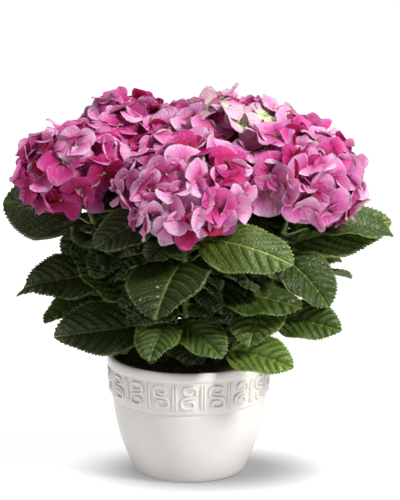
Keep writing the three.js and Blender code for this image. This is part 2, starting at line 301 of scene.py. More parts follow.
def speckle(tree, vector, scale, detail=3.0, roughness=0.55):
    """Soft noise from 0 to 1 on a vector."""
    sockets = {"Vector": vector, "Scale": scale, "Detail": detail, "Roughness": roughness}
    return tree.add("ShaderNodeTexNoise", sockets=sockets)


def on_object(tree):
    return tree.add("ShaderNodeTexCoord", out="Object")


print("taps ready")

# %% Geometry Nodes trees: how one is started, filled and turned into a plain mesh
SOCKETS = {
    float: "NodeSocketFloat",
    int: "NodeSocketInt",
    bpy.types.Material: "NodeSocketMaterial",
    bpy.types.Collection: "NodeSocketCollection",
}


def new_tree(name, **kinds):
    """A Geometry Nodes tree with named inputs, and a tap on its Group Input's first socket."""
    tree = bpy.data.node_groups.new(name, "GeometryNodeTree")
    tree.interface.new_socket("Geometry", in_out="INPUT", socket_type="NodeSocketGeometry")
    tree.interface.new_socket("Geometry", in_out="OUTPUT", socket_type="NodeSocketGeometry")
    for title, kind in kinds.items():
        tree.interface.new_socket(title, in_out="INPUT", socket_type=SOCKETS[kind])
    return Tap(tree).add("NodeGroupInput")


def end_tree(geometry, finish):
    """Realizes the instances, sets the finish and closes the tree."""
    real = geometry.geo("RealizeInstances", Geometry=geometry)
    done = real.geo("SetMaterial", Geometry=real, Material=finish)
    done.add("NodeGroupOutput", sockets={"Geometry": done})
    return done.tree


def grown(name, seed_mesh, tree, **values):
    """Runs a tree on a mesh and returns the result as an object with a plain mesh."""
    seed = show(name + "_seed", seed_mesh)
    modifier = seed.modifiers.new(name, "NODES")
    modifier.node_group = tree
    for item in tree.interface.items_tree:
        if item.name in values:
            modifier[item.identifier] = values[item.name]
    ready = seed.evaluated_get(bpy.context.evaluated_depsgraph_get())
    mesh = bpy.data.meshes.new_from_object(ready)
    mesh.name = name
    bpy.data.objects.remove(seed)
    return show(name, mesh)


def settle(piece, slot, *nodes):
    """Hangs a finished piece on the root body and hides the solids it stands for; the slot is not used.
    """
    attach(piece, "root")
    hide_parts(*nodes)
    print(f"{piece.name}: {len(piece.data.polygons)} faces")


def lay(heap, name, finishes, slot, node):
    """Turns a heap into a finished piece."""
    settle(show(name, heap.mesh(name, finishes)), slot, node)


# %% [markdown]
# ## Camera, light and floor
#
# A plant portrait is taken from three metres away with a long lens, a little from above, so that
# the pot's mouth opens into a narrow oval. A lamp high up at the right models the petals, a wide
# one overhead gives the leaves their sheen, one at the side rounds the pot, a weak one at the left
# keeps the shadows open, and a white room does the rest. The floor could be lit until it is white,
# but that takes more light than the plant needs. It glows instead, which also lights the pot softly
# from below, and its glow is dimmed in an oval round the pot's foot: a painted shadow.

# %% The camera
CAMERA_TILT = math.radians(14)
CAMERA_DISTANCE = 3.2
LOOK_AT = Vector((11.85, 0, 248.6)) * MM
LENS = 210
SENSOR = 36
FARTHEST_SEEN = 50

camera_data = bpy.data.cameras.new("camera")
camera_data.lens = LENS
camera_data.sensor_width = SENSOR
camera_data.clip_end = FARTHEST_SEEN
camera = show("camera", camera_data)
camera.location = LOOK_AT + CAMERA_DISTANCE * Vector((0, -math.cos(CAMERA_TILT), math.sin(CAMERA_TILT)))
camera.rotation_euler = (math.pi / 2 - CAMERA_TILT, 0, 0)
bpy.context.scene.camera = camera
bpy.context.scene.view_settings.view_transform = "Standard"
print("camera at", [round(v, 3) for v in camera.location])

# %% Lamps, room and floor
LAMPS = {
    # name: where it stands, how wide it is, its power in watts
    "key_lamp": ((1.6, -1.2, 2.0), 0.6, 74),
    "top_lamp": ((0.5, 0.3, 2.5), 1.0, 37),
    "side_lamp": ((2.6, -1.0, 0.7), 1.4, 12),
    "fill_lamp": ((-2.2, -1.6, 1.0), 1.8, 8),
}
ROOM_LIGHT = 0.17
FLOOR_SIZE = 30
# near: the floor's glow inside the painted shadow round the pot's foot; far: its glow elsewhere.
# GLOW_RISE, SHADOW_MIDDLE and SHADOW_FLATNESS size and place that painted shadow
FLOOR_GLOW = {"near": 0.15, "far": 0.93}
GLOW_RISE = (0.048, 0.17)
SHADOW_MIDDLE = (0.02, -0.018, 0)
SHADOW_FLATNESS = 1.6


def lamp(name, place, width, watts):
    light = bpy.data.lights.new(name, "AREA")
    light.shape = "DISK"
    light.size = width
    light.energy = watts
    made = show(name, light)
    made.location = place
    made.rotation_euler = (LOOK_AT - Vector(place)).to_track_quat("-Z", "Y").to_euler()


for lamp_name, (place, width, watts) in LAMPS.items():
    lamp(lamp_name, place, width, watts)

room = bpy.data.worlds.new("white_room")
room.use_nodes = True
room.node_tree.nodes["Background"].inputs["Color"].default_value = rgb(1, 1, 1)
room.node_tree.nodes["Background"].inputs["Strength"].default_value = ROOM_LIGHT
bpy.context.scene.world = room

floor_finish, tree = new_finish("white_floor")
place = on_object(tree)
paper = speckle(tree, place, 3.0)
paper_tone = tinted(paper, grey(0.20), grey(0.22))
# painted shadow: the glow falls to its near value in a flattened oval round the pot's foot
flattened = tree.add("ShaderNodeMapping", sockets={"Vector": place, "Scale": (1, SHADOW_FLATNESS, 1)})
distance = tree.add("ShaderNodeVectorMath", {"operation": "DISTANCE"},
                    {0: flattened, 1: SHADOW_MIDDLE}, out="Value")
glow_with_painted_shadow = tinted(ramp(distance, *GLOW_RISE), grey(FLOOR_GLOW["near"]), grey(FLOOR_GLOW["far"]))
close_finish(tree, Base_Color=paper_tone, Roughness=0.9, Emission_Color=glow_with_painted_shadow, Emission_Strength=1.0)
floor_heap = Heap()
reach = FLOOR_SIZE / 2
floor_heap.add([(-reach, -reach, 0), (reach, -reach, 0), (reach, reach, 0), (-reach, reach, 0)],
               [([[0, 1, 2, 3]], 0)])
show("floor", floor_heap.mesh("floor", [floor_finish]))
print("lamps:", len(LAMPS))

# %% [markdown]
# ## The pot
#
# The pot is slip-cast earthenware: a round body that swells from a narrow foot, a straight
# raised band and a smooth lip, all under one white glaze. Such a shape could be spun with a
# Screw modifier. Here its outline is worked out from a few sizes and turned in code, because
# the band's ornament has to know the band's radius at every height.

# %% Outline of the pot
POT_HEIGHT = 133 * MM
FOOT_RADIUS = 61 * MM
FOOT_ROUND = 3 * MM
BELLY = (82 * MM, 44 * MM)
WAIST_RADIUS = 85.2 * MM
BAND_BOTTOM = 86 * MM
BAND_STEP = 1.6 * MM
BAND_TOP = 123 * MM
BAND_TOP_RADIUS = 89.8 * MM
RIM_RADIUS = 91 * MM
LIP_ROUND = 3.5 * MM
WALL = 6.5 * MM
INNER_FLOOR = 8 * MM
GROOVE = 0.7 * MM
POT_SEGMENTS = 144
BAND_SHARES = (0.25, 0.5, 0.75, 0.92)


def arc(start, pull, end, steps):
    """Points along a curve from start to end that a third point pulls to itself."""
    t = np.linspace(0, 1, steps + 1)[1:, None]
    start, pull, end = np.array(start), np.array(pull), np.array(end)
    return ((1 - t) ** 2 * start + 2 * t * (1 - t) * pull + t * t * end).tolist()


def pot_outline():
    """The pot's outline as points of radius and height, from under its middle to its floor."""
    foot_edge = (FOOT_RADIUS + FOOT_ROUND / 2, FOOT_ROUND)
    mouth = RIM_RADIUS - WALL
    line = [(0, 0), (FOOT_RADIUS - FOOT_ROUND, 0)]
    line += arc(line[-1], (FOOT_RADIUS, 0), foot_edge, 4)
    line += arc(foot_edge, BELLY, (WAIST_RADIUS, BAND_BOTTOM), 28)[:-1]
    line += arc(line[-1], (WAIST_RADIUS - GROOVE, BAND_BOTTOM - GROOVE), (WAIST_RADIUS, BAND_BOTTOM), 4)
    line += arc(line[-1], (WAIST_RADIUS + BAND_STEP, BAND_BOTTOM),
                (WAIST_RADIUS + BAND_STEP, BAND_BOTTOM + BAND_STEP), 4)
    line += [(mix(line[-1][0], BAND_TOP_RADIUS, share), mix(line[-1][1], BAND_TOP, share))
             for share in BAND_SHARES]
    line += arc(line[-1], (BAND_TOP_RADIUS - GROOVE, BAND_TOP - GROOVE), (BAND_TOP_RADIUS, BAND_TOP), 4)
    line += arc(line[-1], (RIM_RADIUS, BAND_TOP), (RIM_RADIUS, POT_HEIGHT - 2 * LIP_ROUND), 5)
    line += arc(line[-1], (RIM_RADIUS, POT_HEIGHT), (RIM_RADIUS - LIP_ROUND, POT_HEIGHT), 7)
    line += arc(line[-1], (mouth, POT_HEIGHT), (mouth, POT_HEIGHT - LIP_ROUND), 7)
    line += [(WAIST_RADIUS - WALL, BAND_BOTTOM)]
    line += arc(line[-1], (BELLY[0] - WALL, BELLY[1]), (FOOT_RADIUS - WALL, INNER_FLOOR), 12)
    return line + [(0, INNER_FLOOR)]


def turned(outline, segments, lift=None):
    """A closed solid turned about the Z axis from an outline that starts and ends on it."""
    rings = np.array(outline[1:-1])
    angle = 2 * np.pi * np.arange(segments) / segments
    x = rings[:, :1] * np.cos(angle)
    y = rings[:, :1] * np.sin(angle)
    z = np.repeat(rings[:, 1:], segments, axis=1)
    if lift:
        z = z + lift(x, y, z)
    return tube(np.stack([x, y, z], -1), (0, 0, outline[0][1]), (0, 0, outline[-1][1]))


pot_heap = Heap()
pot_heap.add(*turned(pot_outline(), POT_SEGMENTS))
print("pot outline points:", len(pot_outline()))

# %% [markdown]
# The glaze is thick and white, with the faint warm cast of the clay below it. It pools a little
# in hollows and breaks over edges, so both its tone and its surface wander softly. Its gloss is
# that of a satin glaze under a clear coat.

# %% White glaze
def glaze():
    """White glaze whose tone and surface wander softly."""
    made, tree = new_finish("white_glaze")
    place = on_object(tree)
    cloud = speckle(tree, place, 14.0)
    grain = speckle(tree, place, 320.0, detail=2.0)
    ripple = speckle(tree, place, 46.0, detail=2.0)
    tone = tinted(ramp(cloud, 0.3, 0.7), rgb(0.69, 0.645, 0.61), rgb(0.73, 0.69, 0.66))
    tone = tinted(ramp(grain, 0.66, 0.76), tone, rgb(0.62, 0.58, 0.54))
    height = ripple + grain * 0.12
    close_finish(tree, Base_Color=tone, Roughness=0.3 + cloud * 0.1, Coat_Weight=0.35,
                 Coat_Roughness=0.12, Normal=bumped(height, 0.00035))
    return made


white_glaze = glaze()
lay(pot_heap, "pot_body", [white_glaze], "glazed_pot", "pot")

# %% [markdown]
# ## The scroll band
#
# Raised scrolls run round the band: in every panel two volutes join into an S, every second panel
# is mirrored, and a pair of plain bars stands between the panels. On the real pot they are part of
# the mould. They could be carved with a displacement, but a ridge made from geometry catches the
# light better. The strokes of two panels are drawn flat, and Geometry Nodes give them a round
# section, repeat them along the band and wrap the strip round the pot.

# %% Strokes of two panels
PANELS = 18
PANEL_PAIRS = PANELS // 2
BAND_MIDDLE = (BAND_BOTTOM + BAND_STEP + BAND_TOP) / 2
MEAN_RADIUS = (WAIST_RADIUS + BAND_STEP + BAND_TOP_RADIUS) / 2
PANEL_WIDTH = 2 * math.pi * MEAN_RADIUS / PANELS
VOLUTE = (9.8 * MM, 7.1 * MM)
VOLUTE_TURNS = 1.3
VOLUTE_EYE = 0.26
VOLUTE_SQUARENESS = 0.72
BAR_HALF = 14.6 * MM
BAR_OFFSET = 1.7 * MM
RIDGE = 1.9 * MM
RIDGE_SIDES = 8
VOLUTE_POINTS = 34
BAR_POINTS = 7


def volute(middle, start, turns, widths):
    """A spiral round a middle, from one width to another, as shares of the volute's size."""
    share = np.linspace(0, 1, VOLUTE_POINTS)
    angle = math.radians(start) + share * turns * 2 * np.pi
    width = mix(widths[0], widths[1], share)
    x, y = np.cos(angle), np.sin(angle)
    x = np.sign(x) * np.abs(x) ** VOLUTE_SQUARENESS
    y = np.sign(y) * np.abs(y) ** VOLUTE_SQUARENESS
    return np.stack([VOLUTE[0] * width * x, middle + VOLUTE[1] * width * y], -1)


def scroll():
    """An S of two volutes, stacked, that meet at the waist between them."""
    upper = volute(VOLUTE[1], -90 - VOLUTE_TURNS * 360, VOLUTE_TURNS, (VOLUTE_EYE, 1))
    lower = volute(-VOLUTE[1], 90, -VOLUTE_TURNS, (1, VOLUTE_EYE))
    return np.concatenate([upper, lower[1:]])


def strokes():
    """The flat strokes of one pair of panels, along the band and up it."""
    mirror = np.array((-1, 1))
    step = np.array((PANEL_WIDTH, 0))
    middle = step / 2
    height = np.linspace(-BAR_HALF, BAR_HALF, BAR_POINTS)
    bar = np.stack([np.full(BAR_POINTS, BAR_OFFSET), height], -1)
    bars = [bar, bar * mirror]
    return ([line + step * k for line in bars for k in (0, 1)]
            + [scroll() + middle, scroll() * mirror + middle + step])


def stroke_mesh():
    """The strokes as bare lines."""
    return line_mesh("scroll_strokes", [[(x, y, 0) for x, y in line.tolist()] for line in strokes()])


print("strokes in a pair of panels:", len(strokes()))

# %% The tree that repeats the strokes and wraps them
def band_tree():
    """Gives the strokes a round section, repeats them and wraps them round the pot."""
    start = new_tree("scroll_band", Pairs=int, Pitch=float, Ridge=float, Middle=float,
                     Radius=float, Flare=float, Finish=bpy.types.Material)
    lines = start.geo("MeshToCurve", Mesh=start)
    factor = start.add("GeometryNodeSplineParameter", out="Factor")
    near_end = start.math("MINIMUM", factor, 1 - factor)
    swell = start.math("MINIMUM", near_end * 9 + 0.45, 1.0)
    section = start.geo("CurvePrimitiveCircle", Resolution=RIDGE_SIDES, Radius=start.out("Ridge"))
    ridges = start.geo("CurveToMesh", Curve=lines, Profile_Curve=section, Scale=swell, Fill_Caps=True)
    pitch = start.add("ShaderNodeCombineXYZ", sockets={"X": start.out("Pitch")})
    row = start.geo("MeshLine", Count=start.out("Pairs"), Offset=pitch)
    strip = start.geo("InstanceOnPoints", Points=row, Instance=ridges)
    strip = start.geo("RealizeInstances", Geometry=strip)
    flat = start.add("ShaderNodeSeparateXYZ", sockets={"Vector": start.geo("InputPosition")})
    angle = flat.out("X") / start.out("Radius")
    radius = start.out("Radius") + flat.out("Y") * start.out("Flare") + flat.out("Z")
    wrapped = start.add("ShaderNodeCombineXYZ", sockets={
        "X": radius * start.math("COSINE", angle),
        "Y": radius * start.math("SINE", angle),
        "Z": flat.out("Y") + start.out("Middle")})
    bent = start.geo("SetPosition", Geometry=strip, Position=wrapped)
    bent = start.geo("SetShadeSmooth", Geometry=bent)
    return end_tree(bent, start.out("Finish"))


BAND_FLARE = (BAND_TOP_RADIUS - WAIST_RADIUS - BAND_STEP) / (BAND_TOP - BAND_BOTTOM - BAND_STEP)
band = grown("pot_scrolls", stroke_mesh(), band_tree(), Pairs=PANEL_PAIRS, Pitch=2 * PANEL_WIDTH,
             Ridge=RIDGE, Middle=BAND_MIDDLE, Radius=MEAN_RADIUS, Flare=BAND_FLARE,
             Finish=white_glaze)
settle(band, "glazed_pot", "pot")

# %% [markdown]
# ## The soil
#
# Potting mix is dark peat and bark with a few pale flecks. Its surface is a turned solid whose
# top is lifted by noise, and crumbs of two sizes lie on it. Loose grains could be a particle
# system. Geometry Nodes are used, because they turn into a plain mesh that can be kept.

# %% Potting mix
SOIL_LEVEL = 123 * MM
SOIL_DEPTH = 24 * MM
SOIL_LIFT = 2.2 * MM
EASE = 0.4 * MM
SOIL_SEGMENTS = 120
SOIL_RINGS = 46
LUMP = 9 * MM
CALM = (84 * MM, 6 * MM)


def soil_finish(name, dark, pale, scale):
    made, tree = new_finish(name)
    place = on_object(tree)
    lumps = speckle(tree, place, scale, detail=6.0, roughness=0.7)
    tone = tinted(ramp(lumps, 0.4, 0.68), dark, pale)
    close_finish(tree, Base_Color=tone, Roughness=0.95, Normal=bumped(lumps, 0.002))
    return made


peat = soil_finish("dark_peat", rgb(0.018, 0.018, 0.008), rgb(0.085, 0.080, 0.030), 420)
chips = soil_finish("bark_chips", rgb(0.03, 0.016, 0.007), rgb(0.16, 0.075, 0.025), 600)


def soil_lift(x, y, z):
    """How far the soil's top is lifted or sunk at a place."""
    lumps = [noise.fractal(Vector((a, b, 0)) / LUMP, 0.6, 2.0, 4) for a, b in zip(x.flat, y.flat)]
    near_wall = np.clip((CALM[0] - np.hypot(x, y)) / CALM[1], 0, 1)
    return np.where(z > SOIL_LEVEL - EASE, np.reshape(lumps, x.shape) * SOIL_LIFT * near_wall, 0)


def soil_outline():
    """The soil's outline, from under its middle out to the pot's wall and back over its top."""
    climb = (SOIL_LEVEL - BAND_BOTTOM) / (POT_HEIGHT - LIP_ROUND - BAND_BOTTOM)
    wall_here = mix(WAIST_RADIUS, RIM_RADIUS, climb) - WALL - EASE
    low = SOIL_LEVEL - SOIL_DEPTH
    line = [(0, low), (wall_here - 5 * MM, low), (wall_here, SOIL_LEVEL - 4 * EASE)]
    return line + [(wall_here * share, SOIL_LEVEL) for share in np.linspace(0.995, 0.02, SOIL_RINGS)] + [
        (0, SOIL_LEVEL)]


soil_heap = Heap()
soil_heap.add(*turned(soil_outline(), SOIL_SEGMENTS, soil_lift))
lay(soil_heap, "soil_bed", [peat], "potting_soil", "soil")

# %% Crumbs and bark chips on the soil
CRUMB_REACH = 80 * MM
CRUMB_HEIGHT = 0.6 * MM
DISC_CORNERS = 48
GRAIN_SCALE = ((0.35, 0.35, 0.3), (1.0, 1.25, 0.9))
GRAIN_TURN = ((-0.5, -0.5, 0.0), (0.5, 0.5, 2 * math.pi))
GRAINS = {
    # piece: how many there are, their size, how flat they are and their finish
    "soil_crumbs": (2600, 2.1 * MM, 0.8, peat),
    "bark_chips": (260, 3.4 * MM, 0.3, chips),
}


def crumb_tree():
    """Scatters squashed and turned grains over a mesh."""
    start = new_tree("crumbs", Density=float, Size=float, Flat=float, Seed=int,
                     Finish=bpy.types.Material)
    spread = start.geo("DistributePointsOnFaces", Mesh=start, Density=start.out("Density"),
                       Seed=start.out("Seed"))
    ball = start.geo("MeshIcoSphere", Radius=start.out("Size"), Subdivisions=1)
    scale = start.add("FunctionNodeRandomValue", {"data_type": "FLOAT_VECTOR"}, {
        0: GRAIN_SCALE[0], 1: GRAIN_SCALE[1], "Seed": start.out("Seed")})
    squashed = start.add("ShaderNodeVectorMath", {"operation": "MULTIPLY"}, {
        0: scale, 1: start.add("ShaderNodeCombineXYZ", sockets={
            "X": 1.0, "Y": 1.0, "Z": start.out("Flat")})})
    turn = start.add("FunctionNodeRandomValue", {"data_type": "FLOAT_VECTOR"}, {
        0: GRAIN_TURN[0], 1: GRAIN_TURN[1], "Seed": start.out("Seed")})
    rotation = start.add("FunctionNodeEulerToRotation", sockets={"Euler": turn})
    laid = start.geo("InstanceOnPoints", Points=spread, Instance=ball, Scale=squashed,
                     Rotation=rotation)
    return end_tree(laid, start.out("Finish"))


def soil_top():
    """A flat disc just inside the pot's mouth, on which the crumbs are scattered."""
    angle = 2 * np.pi * np.arange(DISC_CORNERS) / DISC_CORNERS
    disc = bpy.data.meshes.new("soil_top")
    ring = np.stack([CRUMB_REACH * np.cos(angle), CRUMB_REACH * np.sin(angle),
                     np.full(DISC_CORNERS, SOIL_LEVEL + CRUMB_HEIGHT)], -1)
    disc.from_pydata(ring.tolist(), [], [list(range(DISC_CORNERS))])
    return disc


crumbs = crumb_tree()
area = math.pi * CRUMB_REACH ** 2
for number, (name, (count, size, flat, finish)) in enumerate(GRAINS.items()):
    loose = grown(name, soil_top(), crumbs, Density=count / area, Size=size, Flat=flat,
                  Seed=SEED + number, Finish=finish)
    settle(loose, "potting_soil", "soil")

# %% [markdown]
# ## How the plant grows
#
# Everything above the soil follows one rule, the same that shapes the solids. A cane leans out
# of the pot's middle and straightens towards its flower head. A leaf leaves its shoot at some
# height, bearing and lift, and its blade runs on from the stalk, folded along the midrib and
# bending from one slope to another. The rule is written out once more here, in metres, because
# leaves, stalks and florets all have to sit where their solids are.

# %% Canes
Head = namedtuple("Head", "at across tall")
HEAD_SIZES = {
    # cane: the head's middle, its reach sideways and its reach up, in millimetres
    "front": (-6, -105, 342, 70, 54),
    "left": (-126, -25, 344, 58, 53),
    "right": (124, -36, 336, 66, 58),
    "back_left": (-67, 63, 366, 58, 47),
    "top": (52, 30, 373, 67, 46),
    "back_right": (112, 100, 334, 60, 49),
    "back": (2, 126, 324, 62, 50),
    "low_left": (-125, 98, 308, 58, 50),
}
HEADS = {name: Head(np.array((x, y, z)) * MM, across * MM, tall * MM)
         for name, (x, y, z, across, tall) in HEAD_SIZES.items()}
FOOT_SPREAD = 0.22
FOOT_LEVEL = 123.3 * MM
HEAD_LEAN = 0.4
LEAN_REACH = 130 * MM
NECK_DROP = 0.8
BEND = 0.45
WOOD_END = 0.2
SHOOT_END = 0.93
RADIUS = {"foot": 5.6 * MM, "wood": 4.2 * MM, "shoot": 3.8 * MM, "neck": 2.7 * MM, "crown": 2.4 * MM}


def head_axis(head):
    outward = np.array((head.at[0], head.at[1], 0)) * HEAD_LEAN / LEAN_REACH
    return unit(outward + (0, 0, 1))


def cane_points(head):
    """The foot, the knee and the neck that a cane's curve runs between."""
    axis = head_axis(head)
    foot = np.array((head.at[0] * FOOT_SPREAD, head.at[1] * FOOT_SPREAD, FOOT_LEVEL))
    neck = head.at - axis * NECK_DROP * head.tall
    knee = neck - axis * BEND * np.linalg.norm(neck - foot)
    return foot, knee, neck


def on_cane(head, u):
    """Points on a cane's curve, from 0 at the soil to 1 at the head's neck."""
    foot, knee, neck = cane_points(head)
    u = np.reshape(u, (-1, 1))
    return (1 - u) ** 2 * foot + 2 * u * (1 - u) * knee + u * u * neck


def chance(mass, part, draw):
    """A repeatable number from 0 to 1 for one draw of one part of one mass."""
    mixed = math.sin(mass * 12.9898 + part * 78.233 + draw * 37.719 + SEED) * 43758.5453
    return mixed - math.floor(mixed)


def sway(mass, part, draw):
    return chance(mass, part, draw) * 2 - 1


print("canes:", ", ".join(HEADS))

# %% [markdown]
# The heads stand so close that their florets make one cushion. Every dome adds a share that is 1
# on its own surface and fades outwards, and the cushion is where the shares add up to 1 or more.
# On its free side a dome stays as it is, and between two domes the valley is filled.

# %% The cushion that the domes make together
BLEND = 1.9


def head_frame(head):
    """The head's own directions: two across it and its axis."""
    axis = head_axis(head)
    first = unit(np.cross((0, 1, 0), axis))
    return np.array([first, np.cross(axis, first), axis])


def far_out(name, spots):
    """How far out spots lie in a head's dome, where 1 is its surface."""
    head = HEADS[name]
    reach = (spots - head.at) @ head_frame(head).T / (head.across, head.across, head.tall)
    return np.linalg.norm(reach, axis=-1)


def fullness(spots):
    """How deep spots lie in the cushion, where 1 is its surface."""
    return sum(np.exp(BLEND * (1 - far_out(name, spots) ** 2)) for name in HEADS)


print("fullness in the middle of the front head:", round(float(fullness(HEADS["front"].at)), 2))

# %% [markdown]
# ## Woody canes
#
# Low down, a cane is a season old: grey-brown bark that splits lengthwise, with a raised ring
# where a pair of leaves has fallen. Bark could be left to a bump map, but its outline shows against
# the light, so the splits and the ring are real relief and only the fine grain is a bump.

# %% Bark
def bark():
    """Grey-brown bark, stretched along the cane, with greenish patches, kept dark partly as painted
    shade.
    """
    made, tree = new_finish("cane_bark")
    place = on_object(tree)
    stretched = tree.add("ShaderNodeMapping", sockets={"Vector": place, "Scale": (1, 1, 0.16)})
    fibres = speckle(tree, stretched, 900.0, detail=4.0)
    patches = speckle(tree, place, 90.0)
    # the bark's tones are kept dark: partly the bark's own grey-brown, partly painted shade under the
    # crown
    tone = tinted(ramp(fibres, 0.35, 0.65), rgb(0.035, 0.024, 0.012), rgb(0.14, 0.10, 0.055))
    tone = tinted(ramp(patches, 0.5, 0.7, end=0.5), tone, rgb(0.07, 0.09, 0.03))
    close_finish(tree, Base_Color=tone, Roughness=0.85, Normal=bumped(fibres, 0.0006))
    return made


cane_bark = bark()
CANE_SIDES = 20
CANE_RINGS = 34
SPLIT = 0.35 * MM
SPLIT_LENGTH = 14 * MM
SPLITS_ROUND = 3
SUNK = 4 * MM
SCAR = {"place": 0.55, "width": 0.05, "swell": 0.12}


def woody_cane(name, head):
    """A cane's wood from just under the soil to where the green shoot starts."""
    u = np.linspace(0, WOOD_END, CANE_RINGS)
    path = on_cane(head, u)
    path[0, 2] -= SUNK
    round_it = 2 * np.pi * np.arange(CANE_SIDES) / CANE_SIDES
    splits = [[noise.noise(Vector((SPLITS_ROUND * math.cos(a), SPLITS_ROUND * math.sin(a),
                                   z / SPLIT_LENGTH))) for a in round_it] for z in path[:, 2]]
    ring = np.exp(-(((u - WOOD_END * SCAR["place"]) / (WOOD_END * SCAR["width"])) ** 2))
    radii = mix(RADIUS["foot"], RADIUS["wood"], u / WOOD_END) * (1 + SCAR["swell"] * ring)
    heap = Heap()
    heap.add(*limb(path, radii[:, None] + np.array(splits) * SPLIT, CANE_SIDES))
    lay(heap, "wood_" + name, [cane_bark], "woody_cane", "cane_" + name)


for name, head in HEADS.items():
    woody_cane(name, head)

# %% [markdown]
# ## Leaves
#
# A hydrangea leaf is a broad oval that ends in a point, with about thirty teeth on each side,
# a pale sunken midrib and seven or eight pairs of side veins that curve towards the tip. The
# blade bulges between the veins. It could be a flat card with a picture on it, but here every
# blade is a closed mesh: its teeth, its fold and the bulges between its veins are geometry.

# %% The rule that leaves grow by
LEAF_BASE_POWER = 0.55
LEAF_TIP_POWER = 0.76
LEAF_WIDEST = LEAF_BASE_POWER / (LEAF_BASE_POWER + LEAF_TIP_POWER)
LEAF_PEAK = LEAF_WIDEST ** LEAF_BASE_POWER * (1 - LEAF_WIDEST) ** LEAF_TIP_POWER
MIDRIB_PIECES = 12
RIB = {"root": 2.0 * MM, "base": 1.4 * MM, "tip": 0.9 * MM}
LEAF_COLUMNS = "cane up bearing lift stalk swing length broad rise fall roll fold green".split()
FRONT_LEAVES = [
    # lengths in millimetres, angles in degrees, and the leaf's green
    # the green goes by where a leaf sits: deep is painted shade under the flowers and in the crown,
    # light is painted light low down and towards the lamps, and young is the young leaf's own colour
    ("left", 0.86, 130, 8, 28, 28, 94, 0.84, 12, 0, -55, 12, "deep"),
    ("back_left", 0.6, 185, 30, 45, 10, 72, 0.66, -15, -50, -35, 12, "deep"),
    ("front", 0.88, -175, 38, 42, 25, 76, 0.64, -12, -28, -35, 0, "deep"),
    ("left", 0.4, -82, 10, 34, -98, 86, 0.66, 34, 44, -25, 0, "green"),
    ("left", 0.55, -140, 6, 28, -10, 88, 0.64, 2, -5, -45, 12, "deep"),
    ("left", 0.28, -90, -3, 35, -60, 104, 0.64, 1, 1, -45, 12, "deep"),
    ("front", 0.66, -105, 35, 20, 0, 108, 0.84, -3, -36, 5, 12, "deep"),
    ("front", 0.29, -125, 12, 38, 15, 60, 0.84, -15, -40, 0, 12, "light"),
    ("front", 0.32, -115, 5, 14, 65, 74, 0.7, -15, -28, 20, 12, "light"),
    ("front", 0.88, -40, 10, 22, 8, 116, 0.6, 5, -18, 30, -14, "light"),
    ("front", 0.48, 0, 10, 38, -30, 100, 0.62, 2, -10, 20, -8, "green"),
    ("right", 0.78, 45, 2, 26, -35, 114, 0.6, 13, 7, 45, 12, "light"),
    ("right", 0.65, -30, 30, 24, -5, 76, 0.8, -22, -55, 25, 12, "green"),
    ("right", 0.4, -60, 12, 42, -50, 70, 0.95, -8, -50, 0, 12, "light"),
    ("right", 0.3, -30, 8, 46, 0, 80, 0.66, 3, -10, 40, 12, "light"),
    ("top", 0.34, -85, 8, 28, 0, 64, 0.74, 0, -30, 0, 12, "green"),
    ("front", 0.32, -32, -28, 60, 0, 82, 0.62, 6, -16, 38, 12, "young"),
]
TIERS = [0.34, 0.52, 0.7, 0.87]
INWARD = 180
FAN = [-62, 0, 62, INWARD]
TIER_TURN = 34
# low tiers take lighter greens and high tiers, under the flowers, deeper ones: painted light and painted
# shade
TIER_GREENS = [("light", "light", "green"), ("light", "green", "green"), ("green", "green", "deep"),
               ("green", "deep", "deep")]
RULE_LEAF = {"stalk": 30, "lift": 14, "length": 90, "broad": 0.66, "rise": 8, "fall": -24, "fold": 12}
RULE_SPREAD = {"bearing": 14, "length": 12, "roll": 22}
TRIES = [(1, 0), (1, -16), (0.85, 14), (0.7, 0), (0.7, -25)]
INWARD_SCALE = 0.8


def direction(bearing, lift):
    """Unit vectors at a compass bearing and a lift above level, in degrees."""
    bearing, lift = np.broadcast_arrays(np.radians(bearing), np.radians(lift))
    level = np.cos(lift)
    return np.stack([level * np.cos(bearing), level * np.sin(bearing), np.sin(lift)], -1)


def leaf_shape(t):
    """A blade's half width along its midrib, as a share of the widest."""
    return t ** LEAF_BASE_POWER * (1 - t) ** LEAF_TIP_POWER / LEAF_PEAK


def stalk_ends(leaf):
    """Where a leaf's stalk leaves the shoot and where its blade starts."""
    root = on_cane(HEADS[leaf["cane"]], leaf["up"])[0]
    return root, root + leaf["stalk"] * direction(leaf["bearing"], leaf["lift"])


def midrib(leaf, base, t):
    """Points on the midrib, with the directions along it, to its side and over the blade."""
    t = np.atleast_1d(t)
    bearing = leaf["bearing"] + leaf["swing"]
    shares = t[:, None] * (np.arange(MIDRIB_PIECES) + 0.5) / MIDRIB_PIECES
    steps = direction(bearing, mix(leaf["rise"], leaf["fall"], shares))
    point = base + steps.mean(axis=1) * t[:, None] * leaf["length"]
    along = direction(bearing, mix(leaf["rise"], leaf["fall"], t))
    level = direction(bearing + 90, 0)
    above = np.cross(along, level)
    roll = math.radians(leaf["roll"])
    side = level * math.cos(roll) + above * math.sin(roll)
    return point, along, side, np.cross(along, side)


def in_metres(leaf):
    return {**leaf, "stalk": leaf["stalk"] * MM, "length": leaf["length"] * MM}


def rule_leaf(cane, mass, tier, branch):
    """One leaf of the rule, which may be too wide for its place."""
    x, y = HEADS[cane].at[:2]
    part = tier * len(FAN) + branch
    turn = TIER_TURN if tier % 2 else 0
    bearing = (math.degrees(math.atan2(y, x)) + FAN[branch] + turn
               + RULE_SPREAD["bearing"] * sway(mass, part, 1))
    size = INWARD_SCALE if FAN[branch] == INWARD else 1
    length = size * (RULE_LEAF["length"] + RULE_SPREAD["length"] * sway(mass, part, 2))
    return {**RULE_LEAF, "cane": cane, "up": TIERS[tier], "bearing": bearing, "swing": 0,
            "length": length, "roll": RULE_SPREAD["roll"] * sway(mass, part, 3),
            "green": TIER_GREENS[tier][int(chance(mass, part, 4) * 3)]}


